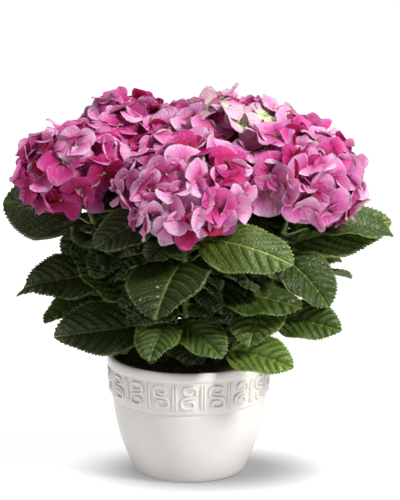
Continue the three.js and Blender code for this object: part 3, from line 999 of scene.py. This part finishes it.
print("front leaves:", len(FRONT_LEAVES), "rule leaves at most:", len(HEADS) * len(TIERS) * len(FAN))

# %% [markdown]
# The solids keep only the leaves that have room. Which ones grew is read from the solids
# themselves: a leaf grew if its tip is found among the points of its shoot's solid.

# %% Which leaves grew
TIP_NEAR = 2 * MM


def solid_points(node):
    mesh = frame["nodes"][node].data
    points = np.empty(len(mesh.vertices) * 3, np.float32)
    mesh.vertices.foreach_get("co", points)
    return points.reshape(-1, 3)


shoot_points = {cane: solid_points("leaves_" + cane) for cane in HEADS}


def grew(leaf):
    """Whether a leaf's tip lies on its shoot's solid."""
    tip = midrib(leaf, stalk_ends(leaf)[1], 1.0)[0][0]
    return np.linalg.norm(shoot_points[leaf["cane"]] - tip, axis=1).min() < TIP_NEAR


def grown_rule_leaf(cane, mass, tier, branch):
    """The rule's leaf at the first try that grew, or nothing."""
    for scale, droop in TRIES:
        leaf = rule_leaf(cane, mass, tier, branch)
        leaf.update(length=leaf["length"] * scale, rise=leaf["rise"] + droop)
        if grew(in_metres(leaf)):
            return in_metres(leaf)
    return None


front_leaves = [in_metres(dict(zip(LEAF_COLUMNS, row))) for row in FRONT_LEAVES]
front_leaves = [{**leaf, "kind": "front"} for leaf in front_leaves if grew(leaf)]
rule_leaves = [grown_rule_leaf(cane, mass, tier, branch)
               for mass, cane in enumerate(HEADS)
               for tier in range(len(TIERS)) for branch in range(len(FAN))]
rule_leaves = [{**leaf, "kind": "rule"} for leaf in rule_leaves if leaf]
print("front leaves that grew:", len(front_leaves), "rule leaves that grew:", len(rule_leaves))

# %% [markdown]
# A real shoot also has small leaves inside the crown, which hardly catch the light and close the
# view through it. They follow the same rule with freer draws. To keep them out of each other, the
# room round the plant is cut into small cells: a blade takes the cells that it passes through, and
# a new blade grows only where hardly any of its cells are taken.

# %% Cells of the room that are taken
CELL = 4 * MM
CELLS = np.array((130, 130, 110))
ROOM_CORNER = np.array((-260, -260, 0)) * MM
NEAR_HEAD = 0.72
NEAR_POT = (97 * MM, 137 * MM)
COARSE = (24, 9)


def cells(points):
    """The numbers of the cells that points lie in."""
    return tuple(((np.reshape(points, (-1, 3)) - ROOM_CORNER) / CELL).astype(int).T)


def coarse_blade(leaf):
    """A blade's points without teeth and bulges."""
    t = np.linspace(0, 1, COARSE[0])
    point, _, side, over = midrib(leaf, stalk_ends(leaf)[1], t)
    x = leaf["length"] * leaf["broad"] / 2 * leaf_shape(t)[:, None] * np.linspace(-1, 1, COARSE[1])
    lift = np.abs(x) * math.tan(math.radians(leaf["fold"]))
    return point[:, None] + side[:, None] * x[..., None] + over[:, None] * lift[..., None]


middles = ROOM_CORNER + (np.indices(CELLS).reshape(3, -1).T + 0.5) * CELL
in_pot = (np.hypot(middles[:, 0], middles[:, 1]) < NEAR_POT[0]) & (middles[:, 2] < NEAR_POT[1])
taken = ((fullness(middles) > NEAR_HEAD) | in_pot).reshape(CELLS)
for leaf in front_leaves + rule_leaves:
    taken[cells(coarse_blade(leaf))] = True
print("cells taken:", int(taken.sum()), "of", taken.size)

# %% Small leaves inside the crown
INNER_TRIES = 1400
INNER_REACH = {"low": 92 * MM, "slope": 0.4, "from": 130 * MM}
INNER_OVERLAP = 0.04
INNER_LEAF = {
    # each value is drawn between two limits: lengths in millimetres, angles in degrees, and the
    # bearing is counted from the direction to the pot's middle
    "up": (0.16, 0.99), "bearing": (-150, 150), "lift": (-8, 40), "stalk": (12, 34), "length": (32, 84),
    "broad": (0.66, 0.86), "rise": (-12, 30), "fall": (-55, 0), "roll": (-30, 30), "fold": (4, 14),
}


def inner_leaves(cane, mass):
    """The small leaves of one cane that find room."""
    rng = np.random.default_rng([SEED, 200 + mass])
    inward = math.degrees(math.atan2(*-HEADS[cane].at[1::-1]))
    found = []
    for _ in range(INNER_TRIES):
        drawn = {name: rng.uniform(*limits) for name, limits in INNER_LEAF.items()}
        drawn["bearing"] += inward
        # every small leaf takes the deep green: painted shade inside the crown
        leaf = in_metres({**drawn, "cane": cane, "swing": 0, "kind": "inner", "green": "deep"})
        blade = coarse_blade(leaf)
        limit = INNER_REACH["low"] + INNER_REACH["slope"] * (blade[..., 2] - INNER_REACH["from"])
        within = (np.hypot(blade[..., 0], blade[..., 1]) < limit).all()
        if within and taken[cells(blade)].mean() < INNER_OVERLAP:
            taken[cells(blade)] = True
            found.append(leaf)
    return found


small_leaves = [leaf for mass, cane in enumerate(HEADS) for leaf in inner_leaves(cane, mass)]
all_leaves = front_leaves + rule_leaves + small_leaves
print("small leaves that found room:", len(small_leaves))

# %% [markdown]
# ## Leaf green
#
# One leaf is never quite the green of the next, and young ones are fresh and yellow. Each leaf
# takes one of a few greens: a deep one, painted shade, under the flowers and inside the crown,
# and a light one, painted light, low down and towards the lamps. The veins are drawn from the
# blade's own UV map, which runs along the midrib and across it, with the same formula that shapes
# the bulges. The crests between the veins are painted lighter and the grooves beside them darker:
# painted highlight and painted shade of the bulges.

# %% Leaf finishes
VEINS = 7.2
VEIN_LEAN = 0.24
VEIN_CURVE = 0.18


def leaf_finish(name, deep, fresh, vein, veins_show):
    """A leaf's upper side: wandering green, painted highlight and shade on its bulges, paler veins and
    margin.
    """
    made, tree = new_finish(name)
    spot = tree.add("ShaderNodeUVMap", {"uv_map": "UVMap"})
    split = tree.add("ShaderNodeSeparateXYZ", sockets={"Vector": spot})
    t = split.out("X")
    s = abs(split.out("Y") - 0.5) * 2
    phase = (t - s * VEIN_LEAN - s * s * VEIN_CURVE) * VEINS
    off_vein = 0.5 - abs(phase % 1 - 0.5)
    side_veins = ramp(off_vein, 0.02, 0.07, 1.0, 0.0) * (1 - s * 0.4)
    centre = ramp(s, 0.02, 0.055, 1.0, 0.0)
    # painted highlight on the crests between the veins and painted shade in the grooves beside them
    painted_crest_light = ramp(off_vein, 0.1, 0.42)
    outline = t ** LEAF_BASE_POWER * (1 - t) ** LEAF_TIP_POWER * (1 / LEAF_PEAK)
    margin = ramp(s / (outline + 0.01), 0.91, 0.99) * 0.8
    lines = tree.math("MAXIMUM", tree.math("MAXIMUM", side_veins, centre), margin)
    squeezed = tree.add("ShaderNodeMapping", sockets={"Vector": spot, "Scale": (1, 0.66, 1)})
    net = tree.add("ShaderNodeTexVoronoi", {"feature": "DISTANCE_TO_EDGE"}, {
        "Vector": squeezed, "Scale": 30.0})
    net_lines = ramp(net, 0.02, 0.12, 1.0, 0.0)
    cloud = speckle(tree, on_object(tree), 38.0)
    tone = tinted(ramp(cloud, 0.35, 0.65) * 0.4 + painted_crest_light * 0.6, deep, fresh)
    tone = tinted(net_lines * 0.3, tone, deep)
    tone = tinted(lines * veins_show, tone, vein)
    height = ramp(net, 0.0, 0.3) * 0.22 - lines * 0.6
    close_finish(tree, Base_Color=tone, Roughness=0.36 + net_lines * 0.08,
                 Specular_IOR_Level=0.45, Normal=bumped(height, 0.0018))
    return made


def underside_finish():
    """A leaf's underside, which is paler and duller."""
    made, tree = new_finish("leaf_underside")
    cloud = speckle(tree, on_object(tree), 60.0)
    tone = tinted(cloud, rgb(0.075, 0.12, 0.035), rgb(0.12, 0.175, 0.06))
    close_finish(tree, Base_Color=tone, Roughness=0.6, Normal=bumped(cloud, 0.0006))
    return made


# deep, green and light are one leaf green in painted shade, in between and in painted light; young is
# the young leaf's own fresh green
LEAF_GREENS = {
    # green: the deep and the fresh tone that it wanders between, its veins, and how much they show
    "deep": (rgb(0.012, 0.021, 0.003), rgb(0.032, 0.052, 0.006), rgb(0.20, 0.28, 0.06), 0.55),
    "green": (rgb(0.019, 0.037, 0.004), rgb(0.055, 0.094, 0.009), rgb(0.23, 0.32, 0.06), 0.55),
    "light": (rgb(0.029, 0.060, 0.005), rgb(0.098, 0.160, 0.021), rgb(0.34, 0.45, 0.10), 0.55),
    "young": (rgb(0.085, 0.160, 0.022), rgb(0.190, 0.290, 0.042), rgb(0.42, 0.52, 0.11), 0.6),
}
GREENS = list(LEAF_GREENS)
LEAF_FINISHES = [leaf_finish("leaf_" + green, *tones) for green, tones in LEAF_GREENS.items()]
LEAF_FINISHES.append(underside_finish())
UNDERSIDE = len(LEAF_FINISHES) - 1
print("leaf finishes:", len(LEAF_FINISHES))

# %% [markdown]
# The blade is a grid of points: rows along the midrib and columns across it. Each tooth takes
# two or three rows, and its tip leans forward. The bulges between the veins, the fold and a
# slow wave of the margin lift the points off the plane. The leaves in full view get the finest
# grid, and the small ones inside the crown the coarsest.

# %% Leaf blades
TEETH = 28
TOOTH = 1.7 * MM
BULGE = 4.0 * MM
LEAF_THICKNESS = 0.45 * MM
TOOTH_LEAN = 0.9
TOOTH_FADE = (0.15, 0.06)
BLADE_FADE = (0.1, 0.15)
WAVE = 2.2 * MM
WAVE_COUNTS = (1.5, 2.6)
# kind of leaf: rows to a tooth and columns across the blade
GRID = {"front": (3, 21), "rule": (2, 13), "inner": (2, 7)}


def end_fade(t, ends):
    """A share that is 1 along a blade and fades to 0 over the given shares at its two ends."""
    return np.clip(np.minimum(t / ends[0], (1 - t) / ends[1]), 0, 1)


def blade_grid(leaf, rng):
    """The points of a blade's upper face, and their UV spots."""
    tooth_rows, columns = GRID[leaf["kind"]]
    t = np.linspace(0, 1, TEETH * tooth_rows + 1)
    v = np.linspace(-1, 1, columns)
    widest = leaf["length"] * leaf["broad"] / 2
    narrow = mix(RIB["base"], RIB["tip"], t)
    half = np.maximum(widest * leaf_shape(t), narrow)
    step = np.arange(len(t)) % tooth_rows / (tooth_rows - 1)
    toothed = end_fade(t, TOOTH_FADE) * step * TOOTH
    edge = np.abs(v) ** 9
    x = half[:, None] * v + np.sign(v) * toothed[:, None] * edge
    forward = toothed[:, None] * edge * TOOTH_LEAN
    s = np.abs(x) / widest
    phase = (t[:, None] - VEIN_LEAN * s - VEIN_CURVE * s * s) * VEINS
    bulge = np.abs(np.sin(np.pi * phase)) ** 0.7 * np.clip(s * 7, 0, 1) * (1 - 0.75 * np.abs(v) ** 5)
    fade = end_fade(t, BLADE_FADE)[:, None]
    lift = np.abs(x) * math.tan(math.radians(leaf["fold"])) * (1 - 0.25 * v * v)
    waves = rng.uniform(*WAVE_COUNTS, 2)
    starts = rng.uniform(0, 2 * np.pi, 2)
    wave = np.where(v < 0, np.sin(2 * np.pi * waves[0] * t[:, None] + starts[0]),
                    np.sin(2 * np.pi * waves[1] * t[:, None] + starts[1]))
    lift = lift + (BULGE * bulge + WAVE * wave * np.abs(v) ** 2.5) * fade
    point, along, side, over = midrib(leaf, stalk_ends(leaf)[1], t)
    grid = (point[:, None] + side[:, None] * x[..., None] + over[:, None] * lift[..., None]
            + along[:, None] * forward[..., None])
    spots = np.stack([np.broadcast_to(t[:, None], x.shape), 0.5 + x / widest / 2], -1)
    return grid, spots


def leaves_of(cane):
    return [leaf for leaf in all_leaves if leaf["cane"] == cane]


def leaf_blades(cane):
    """All the blades of one cane as one piece."""
    rng = np.random.default_rng([SEED, list(HEADS).index(cane)])
    heap = Heap()
    for leaf in leaves_of(cane):
        green = GREENS.index(leaf["green"])
        heap.add(*sheet(*blade_grid(leaf, rng), LEAF_THICKNESS, green, UNDERSIDE))
    lay(heap, "blades_" + cane, LEAF_FINISHES, "green_leaf", "leaves_" + cane)


for cane in HEADS:
    leaf_blades(cane)

# %% [markdown]
# ## Green shoots and leaf stalks
#
# The shoot is smooth and juicy green, a little swollen where leaves join it. A stalk clasps it
# with a broad root, narrows, and runs on under the blade as the midrib's ridge. Shoot and
# stalks are round limbs along curves, and the stalk's corner at the blade is rounded off.

# %% Shoot finish
def shoot_finish():
    """Fresh green with small dark dots."""
    made, tree = new_finish("green_shoot")
    place = on_object(tree)
    stretched = tree.add("ShaderNodeMapping", sockets={"Vector": place, "Scale": (1, 1, 0.3)})
    dots = tree.add("ShaderNodeTexVoronoi", sockets={"Vector": stretched, "Scale": 330.0})
    cloud = speckle(tree, place, 70.0)
    tone = tinted(ramp(cloud, 0.35, 0.65), rgb(0.13, 0.20, 0.04), rgb(0.24, 0.32, 0.08))
    tone = tinted(ramp(dots, 0.08, 0.2, 0.55, 0.0), tone, rgb(0.10, 0.07, 0.03))
    close_finish(tree, Base_Color=tone, Roughness=0.45, Normal=bumped(dots, 0.0004))
    return made


green_shoot = shoot_finish()

# %% Shoots and stalks
CORNER = 4 * MM
STALK_ROOT = 3.0 * MM
STALK_RADII = [STALK_ROOT, STALK_ROOT * 0.8, 1.9 * MM, 1.6 * MM, 1.5 * MM, 1.45 * MM, 1.4 * MM, 1.4 * MM]
STALK_SAG = 0.03
RUN_SHARES = (0, 0.08, 0.2, 0.45, 0.72, 1)
CORNER_SHARES = (0.33, 0.66)
RIB_START, RIB_END = 0.06, 0.88
RIB_POINTS = 9
RIB_RADII = (1.25 * MM, 0.3 * MM)
RIB_SUNK = 0.5 * MM
NODE_SWELL = 0.28
SHOOT_RINGS = 72
SHOOT_SIDES = 12
STALK_SIDES = 8
NODE_LENGTH = 0.018


def stalk_path(leaf):
    """A stalk's path and radii, from inside the shoot to where the rib fades under the blade."""
    root, base = stalk_ends(leaf)
    outward = unit(base - root)
    rib, _, _, over = midrib(leaf, base, np.linspace(RIB_START, RIB_END, RIB_POINTS))
    rib = rib - over * RIB_SUNK
    start = base - outward * CORNER
    corner = [mix(mix(start, base, k), mix(base, rib[0], k), k) for k in CORNER_SHARES]
    sag = np.array((0, 0, -1)) * leaf["stalk"] * STALK_SAG
    run = [mix(root, start, k) + sag * math.sin(math.pi * k) for k in RUN_SHARES]
    path = np.array([*run, *corner, *rib])
    return path, np.concatenate([STALK_RADII, mix(*RIB_RADII, np.linspace(0, 1, RIB_POINTS))])


def green_parts(cane):
    """One shoot with all its stalks as one piece."""
    head = HEADS[cane]
    leaves = leaves_of(cane)
    u = np.linspace(WOOD_END, 1, SHOOT_RINGS)
    swell = sum(np.exp(-(((u - leaf["up"]) / NODE_LENGTH) ** 2)) for leaf in leaves)
    radii = np.interp(u, [WOOD_END, SHOOT_END, 1], [RADIUS["shoot"], RADIUS["neck"], RADIUS["crown"]])
    heap = Heap()
    heap.add(*limb(on_cane(head, u), radii * (1 + NODE_SWELL * np.minimum(swell, 1)), SHOOT_SIDES))
    for leaf in leaves:
        heap.add(*limb(*stalk_path(leaf), STALK_SIDES))
    lay(heap, "shoot_" + cane, [green_shoot], "green_leaf", "leaves_" + cane)


for cane in HEADS:
    green_parts(cane)

# %% [markdown]
# ## Florets
#
# What looks like a petal is a sepal: four broad ones make a floret about 46 mm across, round a
# bud no bigger than a peppercorn. No two florets lie alike: some are flat, some cupped, and
# their sepals overlap in pairs. Fourteen florets are modelled, each with its own bends, and the
# heads are filled with turned and tilted copies of them. The young florets of an opening head are
# still green at their hearts. Those deep inside a head are painted nearly wine red: painted shade.

# %% Sepal finishes
def sepal_finish(name, heart, blush, rim):
    """A sepal from its heart colour over its blush to a paler rim, partly painted shade and highlight.
    """
    made, tree = new_finish(name)
    spot = tree.add("ShaderNodeUVMap", {"uv_map": "UVMap"})
    split = tree.add("ShaderNodeSeparateXYZ", sockets={"Vector": spot})
    t = split.out("X")
    fan = tree.add("ShaderNodeMapping", sockets={"Vector": spot, "Scale": (1.2, 11, 1)})
    veins = speckle(tree, fan, 1.6, detail=2.0)
    cloud = speckle(tree, on_object(tree), 55.0)
    edge = tree.math("MAXIMUM", t, abs(split.out("Y") - 0.5) * 2)
    # the heart, dark in all but the opening tint, is partly the sepal's own colour and partly painted
    # shade of the crevice round the floret's middle
    tone = tinted(ramp(t, 0.08, 0.6), heart, blush)
    # the paler rim and edge are partly the sepal's own colour and partly painted highlight
    tone = tinted(ramp(t, 0.5, 1.0, end=0.6), tone, rim)
    tone = tinted(ramp(edge, 0.8, 1.0, end=0.5), tone, rim)
    tone = tinted(ramp(veins, 0.5, 0.8, 0.0, 0.4), tone, heart)
    tone = tinted(ramp(cloud, 0.45, 0.7, 0.0, 0.35), tone, rim)
    close_finish(tree, Base_Color=tone, Roughness=0.46, Specular_IOR_Level=0.2, Subsurface_Weight=0.35,
                 Subsurface_Scale=0.003, Subsurface_Radius=(1.0, 0.15, 0.4),
                 Normal=bumped(veins + cloud, 0.0026))
    return made


SEPAL_TONES = {
    # finish: the sepal's heart, its blush and its rim
    "sepal_pale": (rgb(0.54, 0.03, 0.18), rgb(0.72, 0.20, 0.45), rgb(0.86, 0.57, 0.73)),
    "sepal_rose": (rgb(0.46, 0.007, 0.13), rgb(0.64, 0.090, 0.34), rgb(0.82, 0.41, 0.62)),
    "sepal_bright": (rgb(0.38, 0.002, 0.07), rgb(0.56, 0.024, 0.21), rgb(0.74, 0.19, 0.47)),
    "sepal_deep": (rgb(0.25, 0.001, 0.020), rgb(0.40, 0.005, 0.10), rgb(0.60, 0.06, 0.29)),
    "sepal_opening": (rgb(0.64, 0.69, 0.34), rgb(0.74, 0.42, 0.53), rgb(0.80, 0.44, 0.61)),
    "sepal_shaded": (rgb(0.15, 0.001, 0.004), rgb(0.26, 0.002, 0.020), rgb(0.43, 0.012, 0.09)),
}
SEPAL_FINISHES = [sepal_finish(name, *tones) for name, tones in SEPAL_TONES.items()]
print("sepal finishes:", len(SEPAL_FINISHES))

# %% Fourteen florets
FLORET_KINDS = 14
SEPAL_LENGTH = 25.5 * MM
SEPAL_BREADTH = 31 * MM
SEPAL_THICKNESS = 0.4 * MM
SEPAL_STEPS = np.array((0, 0.2, 0.45, 0.68, 0.86, 0.96, 1))
SEPAL_COLUMNS = 5
SEPAL_POWERS = (0.66, 0.42)
SEPAL_NARROWEST = (0.9 * MM, 2.6 * MM)
SEPAL_LAP = 1.1 * MM
SEPAL_WAVE = 2.4 * MM
FLORET_MIDDLE = 1.0 * MM
MOST_OPEN = 46
SEPAL_DRAWS = {
    # each value is drawn between two limits, with angles in degrees
    "size": (0.88, 1.06), "rise": (-14, 14), "bend": (5, 75), "cup": (-0.22, 0.42),
    "waves": (0.8, 1.6), "twist": (-26, 26), "turn": (-7, 7),
}


def sepal_grid(turn, rng, raised, openness):
    """A sepal's upper face round the floret's middle, turned to its place, and its UV spots."""
    def drawn(value):
        return rng.uniform(*SEPAL_DRAWS[value])

    t = SEPAL_STEPS
    w = np.linspace(-1, 1, SEPAL_COLUMNS)
    base, tip = SEPAL_POWERS
    widest = base / (base + tip)
    shape = t ** base * (1 - t) ** tip / (widest ** base * (1 - widest) ** tip)
    half = np.maximum(SEPAL_BREADTH / 2 * shape, mix(*SEPAL_NARROWEST, t)) * drawn("size")
    length = SEPAL_LENGTH * drawn("size")
    rise = math.radians(openness + drawn("rise"))
    fall = rise - math.radians(drawn("bend"))
    steps = mix(rise, fall, t)
    pace = np.diff(t, prepend=0) * length
    out = FLORET_MIDDLE + np.cumsum(pace * np.cos(steps))
    up = raised + np.cumsum(pace * np.sin(steps))
    cup = drawn("cup")
    wave = SEPAL_WAVE * np.sin(2 * np.pi * (drawn("waves") * t + rng.uniform()))
    twist = math.radians(drawn("twist")) * t
    x = half[:, None] * w
    lift = up[:, None] + cup * np.abs(x) * np.abs(w) + wave[:, None] * w * np.abs(w)
    lift = lift + x * np.sin(twist)[:, None]
    forward = out[:, None] - 0.10 * np.abs(x) * np.abs(w)
    angle = turn + math.radians(drawn("turn"))
    grid = np.stack([forward * math.cos(angle) - x * math.sin(angle),
                     forward * math.sin(angle) + x * math.cos(angle), lift], -1)
    spots = np.stack([np.broadcast_to(t[:, None], x.shape), np.broadcast_to(w / 2 + 0.5, x.shape)], -1)
    return grid, spots


def floret_kind(number):
    """One floret: two pairs of sepals, one pair over the other."""
    rng = np.random.default_rng([SEED, 100 + number])
    openness = rng.uniform(0, MOST_OPEN)
    heap = Heap()
    for sepal in range(4):
        grid, spots = sepal_grid(sepal * math.pi / 2, rng, SEPAL_LAP * (sepal % 2), openness)
        heap.add(*sheet(grid, spots, SEPAL_THICKNESS))
    return heap.mesh(f"floret_{number:02d}", SEPAL_FINISHES[:1])


floret_shelf = bpy.data.collections.new("floret_shelf")
floret_profiles = []
for number in range(FLORET_KINDS):
    mesh = floret_kind(number)
    floret_shelf.objects.link(bpy.data.objects.new(mesh.name, mesh))
    floret_profiles.append(np.array([(math.hypot(*v.co[:2]), v.co[2]) for v in mesh.vertices]))
print("faces of one floret:", len(mesh.polygons))

# %% [markdown]
# ## Flower heads
#
# Florets cover the dome evenly, because each one pushes its neighbours away. The golden angle
# gives just that spacing: every floret is turned by it from the last while it steps down the
# dome. A second layer of florets sits deeper, where gaps would show, in darker tints that are
# painted shade. Places where two heads would grow into each other are left out, and so is a small
# spot on the top head, whose youngest florets have not opened yet. Geometry Nodes set one of the
# fourteen florets on every place and finish each by its tint.

# %% Places of the florets
GOLDEN_ANGLE = math.pi * (3 - math.sqrt(5))
FLORET_SPACING = 25 * MM
LOWEST_FLORET = math.cos(math.radians(122))
FLORET_TILT = 0.52
NEIGHBOUR_SHARE = 0.12
# how far out a ray is followed, the step that a slope is measured over, and how far the tip of a
# floret may stand up over the cushion
LIFTS = np.linspace(1, 1.7, 36)
STEP = 0.5 * MM
PROUD = 10 * MM
OUTER = {"depth": (6, 15), "tints": {
    # head: how often each sepal finish comes up
    # the left and back-left heads draw more dark finishes and fewer pale ones than the rest: painted
    # shade on the side away from the key lamp
    "top": (0.34, 0.14, 0.06, 0, 0.46, 0),
    "left": (0.10, 0.42, 0.30, 0.18, 0, 0),
    "back_left": (0.24, 0.36, 0.24, 0.16, 0, 0),
    "other": (0.44, 0.32, 0.15, 0.09, 0, 0),
}}
# the deeper layer draws only dark finishes, sepal_shaded most often: painted shade inside the head
INNER = {"depth": (19, 27), "tints": {"other": (0, 0, 0.15, 0.35, 0, 0.5)}}
BARE_SPOT = np.array((40, -27, 392)) * MM
BARE_RADIUS = 13 * MM
Floret = namedtuple("Floret", "spot facing spin size kind tint")


def cushion_facing(spot):
    """The direction out of the cushion at a spot."""
    steps = STEP * np.eye(3)
    return unit(fullness(spot - steps) - fullness(spot + steps))


def on_cushion(name, u, v, height):
    """Where a ray out of a head's middle leaves the cushion, or nothing if another head is nearer."""
    head = HEADS[name]
    first, second, axis = head_frame(head)
    ray = (first * u + second * v) * head.across + axis * height * head.tall
    spots = head.at + LIFTS[:, None] * ray
    inside = fullness(spots) >= 1
    spot = spots[max(np.argmin(inside) - 1, 0)]
    own = far_out(name, spot)
    if inside.all() or any(far_out(other, spot) + NEIGHBOUR_SHARE < own for other in HEADS):
        return None
    if np.linalg.norm(spot - BARE_SPOT) < BARE_RADIUS:
        return None
    return spot


def stands_up(kind, size, facing, out):
    """How far a floret stands up from its spot."""
    upright = float(facing @ out)
    level = math.sqrt(max(1 - upright ** 2, 0))
    return size * float((floret_profiles[kind] @ (level, upright)).max())


def floret_layer(name, layer, rng):
    """The florets of one layer of a head, which lies at a depth under the cushion's surface."""
    mass = list(HEADS).index(name)
    across = HEADS[name].across - layer["depth"][0] * MM
    count = round(2 * math.pi * across * across * (1 - LOWEST_FLORET) / FLORET_SPACING ** 2)
    odds = layer["tints"].get(name, layer["tints"]["other"])
    made = []
    for number in range(count):
        height = mix(1, LOWEST_FLORET, (number + 0.5) / count)
        level = math.sqrt(1 - height * height)
        turn = number * GOLDEN_ANGLE + mass
        spot = on_cushion(name, level * math.cos(turn), level * math.sin(turn), height)
        sunk = rng.uniform(*layer["depth"]) * MM
        tilt = FLORET_TILT * rng.uniform(-1, 1, 3)
        draw = (rng.uniform(0, 2 * math.pi), rng.uniform(0.84, 1.06), rng.integers(FLORET_KINDS))
        tint = rng.choice(len(SEPAL_FINISHES), p=odds)
        if spot is not None:
            out = cushion_facing(spot)
            facing = unit(out + tilt)
            sunk = max(sunk, stands_up(draw[2], draw[1], facing, out) - PROUD)
            made.append(Floret(spot - out * sunk, facing, *draw, tint))
    return made


def florets_of(name):
    rng = np.random.default_rng([SEED, 300 + list(HEADS).index(name)])
    return floret_layer(name, OUTER, rng), floret_layer(name, INNER, rng)


head_florets = {name: florets_of(name) for name in HEADS}
print("florets:", {name: len(outer) + len(inner) for name, (outer, inner) in head_florets.items()})

# %% The tree that sets and tints the florets
def named(start, kind, title):
    """A named attribute of the points."""
    return start.add("GeometryNodeInputNamedAttribute", {"data_type": kind}, {"Name": title})


def head_tree():
    """Sets a floret on every point and gives it the finish of its tint."""
    start = new_tree("flower_head", Florets=bpy.types.Collection)
    shelf = start.geo("CollectionInfo", Collection=start.out("Florets"), Separate_Children=True,
                      Reset_Children=True)
    facing = start.add("FunctionNodeAlignRotationToVector", {"axis": "Z"}, {
        "Vector": named(start, "FLOAT_VECTOR", "facing")})
    spin = start.add("FunctionNodeAxisAngleToRotation", sockets={
        "Axis": (0, 0, 1), "Angle": named(start, "FLOAT", "spin")})
    turned_florets = start.add("FunctionNodeRotateRotation", {"rotation_space": "LOCAL"}, {
        "Rotation": facing, "Rotate By": spin})
    placed = start.geo("InstanceOnPoints", Points=start, Instance=shelf, Pick_Instance=True,
                       Instance_Index=named(start, "INT", "kind"), Rotation=turned_florets,
                       Scale=named(start, "FLOAT", "size"))
    real = start.geo("RealizeInstances", Geometry=placed)
    for number, finish in enumerate(SEPAL_FINISHES[1:], 1):
        this_tint = start.add("FunctionNodeCompare", {"data_type": "INT", "operation": "EQUAL"}, {
            2: named(start, "INT", "tint"), 3: number})
        real = start.geo("SetMaterial", Geometry=real, Selection=this_tint, Material=finish)
    real.add("NodeGroupOutput", sockets={"Geometry": real})
    return start.tree


CARRIED = [("facing", "FLOAT_VECTOR", "vector"), ("spin", "FLOAT", "value"),
           ("size", "FLOAT", "value"), ("kind", "INT", "value"), ("tint", "INT", "value")]


def point_mesh(name, florets):
    """A mesh of bare points that carry what the tree reads."""
    mesh = bpy.data.meshes.new(name)
    mesh.from_pydata([tuple(floret.spot) for floret in florets], [], [])
    for field, kind, key in CARRIED:
        values = np.ravel([getattr(floret, field) for floret in florets])
        layer = mesh.attributes.new(field, kind, "POINT")
        layer.data.foreach_set(key, values.astype(np.int32 if kind == "INT" else np.float32))
    return mesh


head_nodes = head_tree()
for name, (outer, inner) in head_florets.items():
    piece = grown("florets_" + name, point_mesh("points_" + name, outer + inner), head_nodes,
                  Florets=floret_shelf)
    settle(piece, "pink_flower", "flower_head_" + name)

# %% [markdown]
# ## Buds and flower stalks
#
# In the middle of every floret sits its unopened bud, yellow-green and round. Behind the
# florets, thin pink-green stalks spread from the shoot's end like the ribs of an umbrella. Both
# repeat hundreds of times, so both are Geometry Nodes: balls on points, and a round section
# drawn along bent lines.

# %% Buds and stalks
def plain_finish(name, first, second, rough):
    made, tree = new_finish(name)
    cloud = speckle(tree, on_object(tree), 260.0)
    close_finish(tree, Base_Color=tinted(cloud, first, second), Roughness=rough,
                 Normal=bumped(cloud, 0.0003))
    return made


bud_green = plain_finish("bud_green", rgb(0.30, 0.38, 0.07), rgb(0.52, 0.50, 0.18), 0.5)
stalk_green = plain_finish("flower_stalk", rgb(0.24, 0.26, 0.08), rgb(0.42, 0.24, 0.16), 0.5)


def bud_tree():
    """Sets a ball on every point."""
    start = new_tree("buds", Radius=float, Finish=bpy.types.Material)
    ball = start.geo("MeshIcoSphere", Radius=start.out("Radius"), Subdivisions=2)
    placed = start.geo("InstanceOnPoints", Points=start, Instance=ball,
                       Scale=named(start, "FLOAT", "size"))
    return end_tree(start.geo("SetShadeSmooth", Geometry=placed), start.out("Finish"))


def stalk_tree():
    """Draws a round section along every line."""
    start = new_tree("flower_stalks", Radius=float, Finish=bpy.types.Material)
    lines = start.geo("MeshToCurve", Mesh=start)
    ring = start.geo("CurvePrimitiveCircle", Resolution=5, Radius=start.out("Radius"))
    drawn = start.geo("CurveToMesh", Curve=lines, Profile_Curve=ring, Fill_Caps=True)
    return end_tree(start.geo("SetShadeSmooth", Geometry=drawn), start.out("Finish"))


BUD_RADIUS = 1.35 * MM
BUD_LIFT = 1.2 * MM
STALK_RADIUS = 0.8 * MM
STALK_FORK = 0.45
STALK_BOW = 0.3
STALK_GAP = 0.5 * MM
STALK_SHARES = (0, 0.3, 0.6, 0.85, 1)


def stalk_lines(name, florets):
    """Bent lines from the shoot's end to the underside of every floret."""
    head = HEADS[name]
    axis = head_axis(head)
    neck = cane_points(head)[2]
    lines = []
    for floret in florets:
        under = floret.spot - floret.facing * STALK_GAP
        knee = mix(neck, under, 0.5) + axis * head.tall * STALK_FORK * STALK_BOW
        lines.append([mix(mix(neck, knee, k), mix(knee, under, k), k) for k in STALK_SHARES])
    return line_mesh("lines_" + name, lines)


buds, stalks = bud_tree(), stalk_tree()
for name, (outer, inner) in head_florets.items():
    lifted = [floret._replace(spot=floret.spot + floret.facing * BUD_LIFT) for floret in outer + inner]
    piece = grown("buds_" + name, point_mesh("bud_points_" + name, lifted), buds,
                  Radius=BUD_RADIUS, Finish=bud_green)
    settle(piece, "pink_flower", "flower_head_" + name)
    piece = grown("stalks_" + name, stalk_lines(name, outer + inner), stalks,
                  Radius=STALK_RADIUS, Finish=stalk_green)
    settle(piece, "pink_flower", "flower_head_" + name)

# %% [markdown]
# ## The end
#
# The loose florets have done their work and go. The last lines count the faces of every piece
# that is not one of the solids.

# %% Faces and the end
for loose_floret in list(floret_shelf.objects):
    bpy.data.objects.remove(loose_floret)
bpy.data.collections.remove(floret_shelf)

faces = sum(len(piece.data.polygons) for piece in bpy.context.scene.objects
            if piece.type == "MESH" and piece.name not in frame["nodes"])
print("faces in all pieces:", faces)
